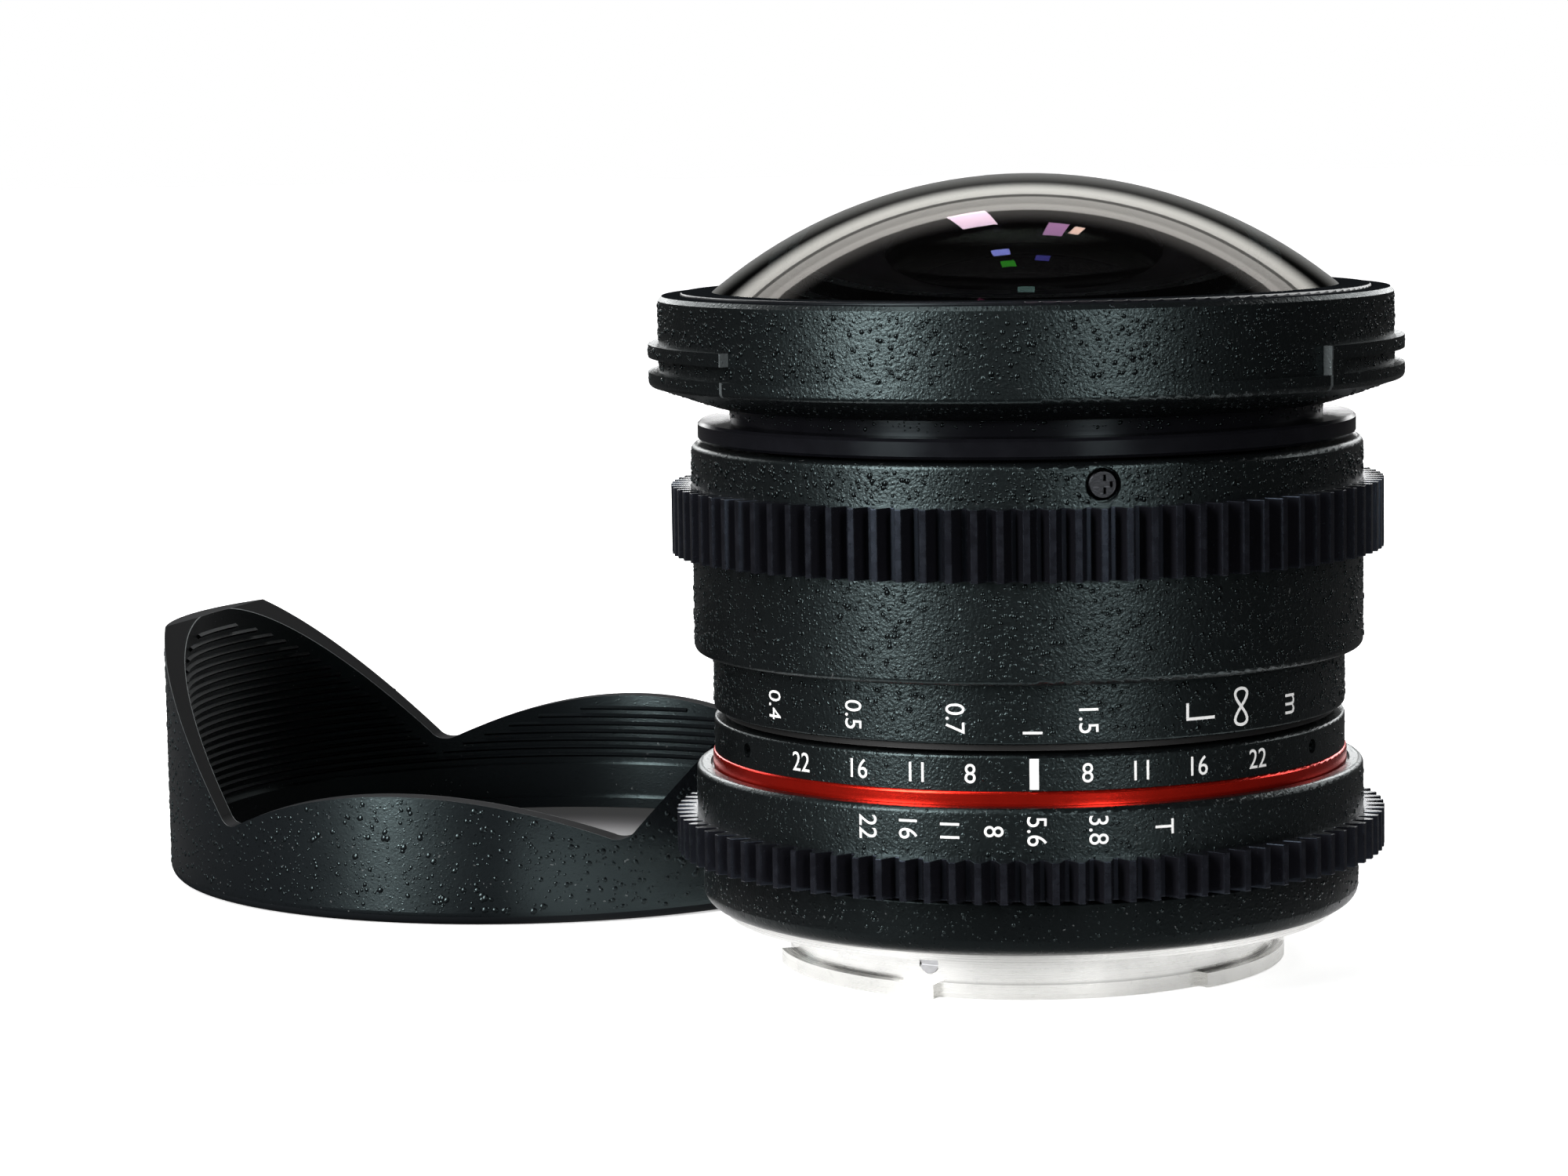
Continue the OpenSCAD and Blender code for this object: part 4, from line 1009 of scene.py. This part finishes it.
class RibHood(bpy.types.Operator):
    """Paints the hood and adds its light-trap ribs"""
    bl_idname = "lens.rib_hood"
    bl_label = "Rib hood"
    petal_turn = math.radians(70.0)
    notch_turn = math.radians(33.6)
    step = math.radians(1.5)
    edge_margin = 0.08 * MM
    rib_half = 0.36
    rib_sunk = 0.1 * MM

    def execute(self, context):
        look = context.scene.lens_hood
        finish = context.scene.lens_finish
        grain = {"cell": 0.4 * MM, "sheen": finish.paint_sheen}
        matt = spatter_paint("hood_black", finish.hood, rough=0.2, height=0.011 * MM, gloss=0.42, **grain)
        wear(["hood"], matt)
        low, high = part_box("hood")
        self.middle = Vector(((low[0] + high[0]) / 2, (low[1] + high[1]) / 2))
        self.dull_edges(look, matt)
        solid = bmesh.new()
        height = look.first
        while height < high[2] - look.pitch:
            for start, end in self.arcs(look, height, high[2]):
                self.rib(solid, look, height, start, end)
            height += look.pitch
        mesh = bpy.data.meshes.new("hood_ribs")
        solid.to_mesh(mesh)
        solid.free()
        ribbed = spatter_paint("rib_black", finish.hood, rough=0.4, height=0.02 * MM, gloss=0.12, **grain)
        add_piece("hood_ribs", mesh, "hood", ribbed)
        return {"FINISHED"}

    def dull_edges(self, look, matt):
        """Dulls the cut edges of the petals, which lie between the inside and the outside of the wall"""
        def edge(x, y, _):
            spread = distance(x - self.middle.x, y - self.middle.y)
            return (spread > look.wall + self.edge_margin) * (spread < look.outside - self.edge_margin)

        dull(matt, edge, gloss=0.03)

    def arcs(self, look, height, top):
        """Stretches of the wall, from the front, that are taller than a height"""
        level = height + look.pitch / 2 + look.margin
        notch_x = look.outside * math.sin(self.notch_turn)
        petal_x = look.outside * math.sin(self.petal_turn)
        if level <= look.notch:
            return [(0.0, 2 * math.pi)]
        flank_x = notch_x + (level - look.notch) * (petal_x - notch_x) / (top - look.notch) + look.margin
        found = []
        if flank_x < look.wall:
            edge = math.asin(flank_x / look.wall)
            found += [(edge, math.pi - edge), (math.pi + edge, 2 * math.pi - edge)]
        rise = look.crest - look.notch
        round_r = (notch_x ** 2 + rise ** 2) / (2 * rise)
        if level < look.crest:
            crest_x = math.sqrt(round_r ** 2 - (level - look.crest + round_r) ** 2)
            edge = math.asin(min(crest_x, notch_x) / look.wall)
            found += [(-edge, edge), (math.pi - edge, math.pi + edge)]
        return found

    def rib(self, solid, look, height, start, end):
        """One ridge along an arc of the wall"""
        whole = end - start > 2 * math.pi - self.step
        count = max(3, round((end - start) / self.step))
        half, foot = look.pitch * self.rib_half, look.wall + self.rib_sunk
        section = ((foot, -half), (look.wall - look.depth, 0.0), (foot, half))
        rings = []
        for i in range(count if whole else count + 1):
            turn = start + (end - start) * i / count + look.turn
            across, along = math.sin(turn), math.cos(turn)
            rings.append([
                solid.verts.new((self.middle.x + r * across, self.middle.y - r * along, height + z))
                for r, z in section
            ])
        last = len(rings) if whole else len(rings) - 1
        for i in range(last):
            here, there = rings[i], rings[(i + 1) % len(rings)]
            for k in range(3):
                solid.faces.new((here[k], there[k], there[k - 2], here[k - 2]))
        if not whole:
            solid.faces.new(rings[0])
            solid.faces.new(reversed(rings[-1]))
        bmesh.ops.recalc_face_normals(solid, faces=solid.faces)


def toward(azimuth, elevation, away):
    """A way from the lens: azimuth from the front, positive to the right, and elevation, in degrees"""
    a, e = math.radians(azimuth), math.radians(elevation)
    return Vector((math.sin(a) * math.cos(e), -math.cos(a) * math.cos(e), math.sin(e))) * away


class SetStage(bpy.types.Operator):
    """Lays the floor, hangs the soft boxes and sets up the camera"""
    bl_idname = "lens.set_stage"
    bl_label = "Set stage"
    # Name, setting with its power and a share of it, azimuth, elevation, distance, size
    boxes = (
        ("key", "key", 1.0, -46, 22, 0.75, (0.24, 0.6)),
        ("fill", "fill", 1.0, 25, 20, 0.8, (0.16, 0.6)),
        ("ceiling", "top", 1.0, -60, 68, 0.9, (0.4, 0.3)),
        ("edge", "edge", 1.0, -37, 14, 0.7, (0.1, 0.4)),
        ("back_left", "back", 1.0, -158, 25, 0.8, (0.2, 0.5)),
        ("back_middle", "back", 1.5, 180, 25, 0.8, (0.2, 0.5)),
        ("back_right", "back", 1.0, 158, 25, 0.8, (0.2, 0.5)),
    )
    barrel_boxes = ("key", "fill", "back_left", "back_middle", "back_right")
    lens_middle = Vector((0.0, 0.0, 0.04))
    glass_middle = Vector((0.0, 0.0, 0.08))
    spot_distance = 0.8
    # Name, share of the spot power, colour, azimuth, elevation, size: what the coated glass mirrors
    spots = (
        ("spot_pink", 1.3, (1.0, 0.78, 1.0), -171.5, 47.5, (0.06, 0.12)),
        ("spot_lilac", 0.3, (0.85, 0.45, 0.9), 173.0, 54.5, (0.035, 0.09)),
        ("spot_blue", 0.28, (0.3, 0.36, 1.0), -172.2, 65.3, (0.036, 0.038)),
        ("spot_warm", 0.2, (1.0, 0.72, 0.62), 168.6, 53.8, (0.018, 0.055)),
        ("spot_teal", 0.06, (0.5, 0.95, 0.75), 178.0, 80.5, (0.04, 0.03)),
        ("spot_rose", 0.03, (0.95, 0.25, 0.45), -131.0, 80.0, (0.04, 0.03)),
        ("spot_green", 0.07, (0.1, 1.0, 0.06), -173.1, 70.3, (0.03, 0.035)),
        ("spot_violet", 0.05, (0.2, 0.2, 1.0), 172.5, 68.0, (0.03, 0.03)),
    )
    # Floor, in metres: where its glow is half and full, the pool that lights the lens from below and its
    # middle, squeeze and sides, the glow to both sides of the lens, and the shade inside the hood
    far_glow = (0.15, 0.6)
    pool_reach = (0.038, 0.07)
    pool_middle = (0.004, -0.012)
    pool_squeeze = 0.75
    pool_sides = (0.05, 0.062)
    side_glow = (0.012, 0.04)
    hood_shade = (0.01, 0.034)
    hood_wall = 1.5 * MM
    hood_down = 0.5 * MM
    # Panels behind: slopes, as height over depth, where each rises and falls, and how bright each is
    low_panel, low_light = (0.37, 0.58, 0.625, 0.65), 3.6
    high_panel, high_light = ((0.68, 0.7), (0.8, 0.86), (0.93, 0.96)), 1.9
    around_panels, around_light = (0.62, 0.64, 0.9, 1.25), 0.7
    panel_depth = (0.3, 0.5)
    back_wall, back_light = (0.9, 0.98), 0.3
    sky, sky_light = (0.6, 1.0), 0.03
    room_light = 0.008
    # Camera: yaw, pitch and roll in degrees, place, and width of the sensor in millimetres
    camera_turn = (-3.314, 6.334, 0.947)
    camera_place = (0.0, -446.7 * MM, 89.03 * MM)
    sensor = 36.0

    def execute(self, context):
        look = context.scene.lens_stage
        context.scene.view_settings.view_transform = "Standard"
        self.floor(context, look)
        self.world(context)
        low, high = (Vector(corner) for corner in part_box("hood"))
        hung = {}
        for name, setting, part, azimuth, elevation, away, size in self.boxes:
            middle = (low + high) / 2 if name == "edge" else self.lens_middle
            watts = getattr(look, setting) * part
            hung[name] = self.soft_box(context, name, middle, watts, azimuth, elevation, away, size)
            hung[name].visible_transmission = False
        for name in self.barrel_boxes:
            self.aim(hung[name], ("hood", "element"), "EXCLUDE")
        self.aim(hung["edge"], ("hood",), "INCLUDE")
        for name, part, tint, azimuth, elevation, size in self.spots:
            box = self.soft_box(context, name, self.glass_middle, look.spot * part, azimuth, elevation,
                                self.spot_distance, size)
            box.data.color = tint
        self.camera(context, look)
        return {"FINISHED"}

    def floor(self, context, look):
        """Lays a floor much wider than the picture"""
        solid = bmesh.new()
        bmesh.ops.create_grid(solid, x_segments=8, y_segments=8, size=6.0)
        mesh = bpy.data.meshes.new("floor")
        solid.to_mesh(mesh)
        solid.free()
        mesh.materials.append(self.floor_paint(look))
        floor = bpy.data.objects.new("floor", mesh)
        floor.location.z = -0.05 * MM
        context.scene.collection.objects.link(floor)
        floor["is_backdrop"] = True

    def floor_paint(self, look):
        """White for the camera but for the shade in the hood; the lens is lit by a pool of it alone"""
        shade = Shade("pale_floor")
        place = shade.place()
        cloud = shade.noise(place, 0.3, 2.0)
        x, y, _ = shade.axes(place)
        far = shade.ramp(distance(x, y), *self.far_glow)
        middle_x, middle_y = self.pool_middle
        near = distance(x * self.pool_squeeze - middle_x, y - middle_y)
        start, end = self.pool_sides
        pool = (1.0 - shade.ramp(near, *self.pool_reach)) * shade.band(x, -end, -start, start, end)
        low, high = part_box("hood")
        under = shade.node("ShaderNodeTexCoord", {"object": frame["nodes"]["hood"]}, out="Object")
        hood_x, hood_y, hood_z = shade.axes(under)
        spread = distance(hood_x - (low[0] + high[0]) / 2, hood_y - (low[1] + high[1]) / 2)
        inside = (spread < (high[0] - low[0]) / 2 - self.hood_wall) * (hood_z > -self.hood_down)
        shaded = shade.mix(shade.ramp(spread, *self.hood_shade), tinted(look.floor, 0.5), tinted(look.floor, 0.08))
        seen = shade.node("ShaderNodeLightPath", out="Is Camera Ray")
        aside = shade.ramp(x * x, *(edge ** 2 for edge in self.side_glow)) * 0.4 + 0.05
        glow = seen * (far * 0.5 + 0.5) * (1.0 - inside) + (1.0 - seen) * pool * aside
        bounced = shade.mix(pool, tinted(look.floor, 0.06), look.floor)
        plain = shade.mix(cloud, look.floor, tinted(look.floor, 0.98))
        return shade.coat(
            Base_Color=shade.mix(seen, bounced, shade.mix(inside, plain, shaded)),
            Roughness=0.6 + cloud * 0.1,
            Specular_IOR_Level=0.0,
            Emission_Color=shade.mix(glow, (0.0, 0.0, 0.0), (1.0, 1.0, 1.0)),
            Emission_Strength=1.0,
        )

    def world(self, context):
        """White for the camera; for reflections two panels above and behind in a dim room"""
        world = bpy.data.worlds.new("studio")
        shade = Shade(world)
        x, y, z = shade.axes(shade.node("ShaderNodeTexCoord", out="Generated"))
        slope = z / y.math("MAXIMUM", 0.05)
        rise, step, fall = self.high_panel
        high = (shade.ramp(slope, *rise) + shade.ramp(slope, *step) * 0.7) * (1.0 - shade.ramp(slope, *fall))
        panels = (shade.band(slope, *self.low_panel) * self.low_light + high * self.high_light
                  + shade.band(slope, *self.around_panels) * self.around_light) * shade.ramp(y, *self.panel_depth)
        dim = shade.ramp(y, *self.back_wall) * self.back_light + shade.ramp(z, *self.sky) * self.sky_light
        light = panels + dim + self.room_light
        seen = shade.node("ShaderNodeLightPath", out="Is Camera Ray")
        level = light.math("MAXIMUM", seen)
        shade.coat(Color=shade.node("ShaderNodeCombineColor", None, {"Red": level, "Green": level, "Blue": level}))
        context.scene.world = world

    def aim(self, box, starts, state):
        """Lets a light reach only the pieces whose names start so, or all but these"""
        group = bpy.data.collections.new(box.name + "_aim")
        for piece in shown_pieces():
            if piece.name.startswith(starts):
                group.objects.link(piece)
        box.light_linking.receiver_collection = group
        for entry in group.collection_objects:
            entry.light_linking.link_state = state

    def soft_box(self, context, name, middle, watts, azimuth, elevation, away, size):
        """Hangs an area light that faces a middle"""
        light = bpy.data.lights.new(name, "AREA")
        light.shape = "RECTANGLE"
        light.size, light.size_y = size
        light.energy = watts
        box = bpy.data.objects.new(name, light)
        box.location = middle + toward(azimuth, elevation, away)
        box.rotation_euler = (middle - box.location).to_track_quat("-Z", "Y").to_euler()
        context.scene.collection.objects.link(box)
        return box

    def camera(self, context, look):
        """Places the camera, rolled about its own axis"""
        lens = bpy.data.cameras.new("camera")
        lens.lens = look.focal
        lens.sensor_width = self.sensor
        lens.sensor_fit = "HORIZONTAL"
        lens.clip_start = 0.01
        camera = bpy.data.objects.new("camera", lens)
        yaw, pitch, roll = (math.radians(turn) for turn in self.camera_turn)
        ahead = Vector((math.sin(yaw) * math.cos(pitch), math.cos(yaw) * math.cos(pitch), -math.sin(pitch)))
        right = Vector((math.cos(yaw), -math.sin(yaw), 0.0))
        down = ahead.cross(right)
        right, down = (math.cos(roll) * right + math.sin(roll) * down,
                       math.cos(roll) * down - math.sin(roll) * right)
        place = self.camera_place
        camera.matrix_world = Matrix((
            (right.x, -down.x, -ahead.x, place[0]),
            (right.y, -down.y, -ahead.y, place[1]),
            (right.z, -down.z, -ahead.z, place[2]),
            (0.0, 0.0, 0.0, 1.0),
        ))
        context.scene.collection.objects.link(camera)
        context.scene.camera = camera


class LensPanel(bpy.types.Panel):
    """Lists the steps that dress the lens"""
    bl_idname = "VIEW3D_PT_lens"
    bl_label = "Fisheye lens"
    bl_space_type = "VIEW_3D"
    bl_region_type = "UI"
    bl_category = "Lens"

    def draw(self, context):
        for step in STEPS:
            self.layout.operator(step.bl_idname)
        for group in GROUPS:
            settings = getattr(context.scene, group)
            box = self.layout.box()
            for key in settings.bl_rna.properties.keys():
                if key not in ("rna_type", "name"):
                    box.prop(settings, key)


STEPS = (PaintRings, CutGears, TurnFront, RedRing, ChromeMount, FinishScrews, BlackenInside, CoatGlass,
         FocusScale, ApertureScale, IndexLine, DepthScale, RibHood, SpatterDrops, SetStage)
GROUPS = {"lens_finish": FinishSettings, "lens_spatter": SpatterSettings, "lens_scale": ScaleSettings,
          "lens_hood": HoodSettings, "lens_stage": StageSettings}


def register():
    for kind in (*GROUPS.values(), *STEPS, LensPanel):
        bpy.utils.register_class(kind)
    for name, kind in GROUPS.items():
        setattr(bpy.types.Scene, name, PointerProperty(type=kind))


def unregister():
    for name in GROUPS:
        delattr(bpy.types.Scene, name)
    for kind in (LensPanel, *reversed(STEPS), *reversed(GROUPS.values())):
        bpy.utils.unregister_class(kind)


def main():
    register()
    for step in STEPS:
        group, name = step.bl_idname.split(".")
        getattr(getattr(bpy.ops, group), name)()


if __name__ == "__main__":
    main()
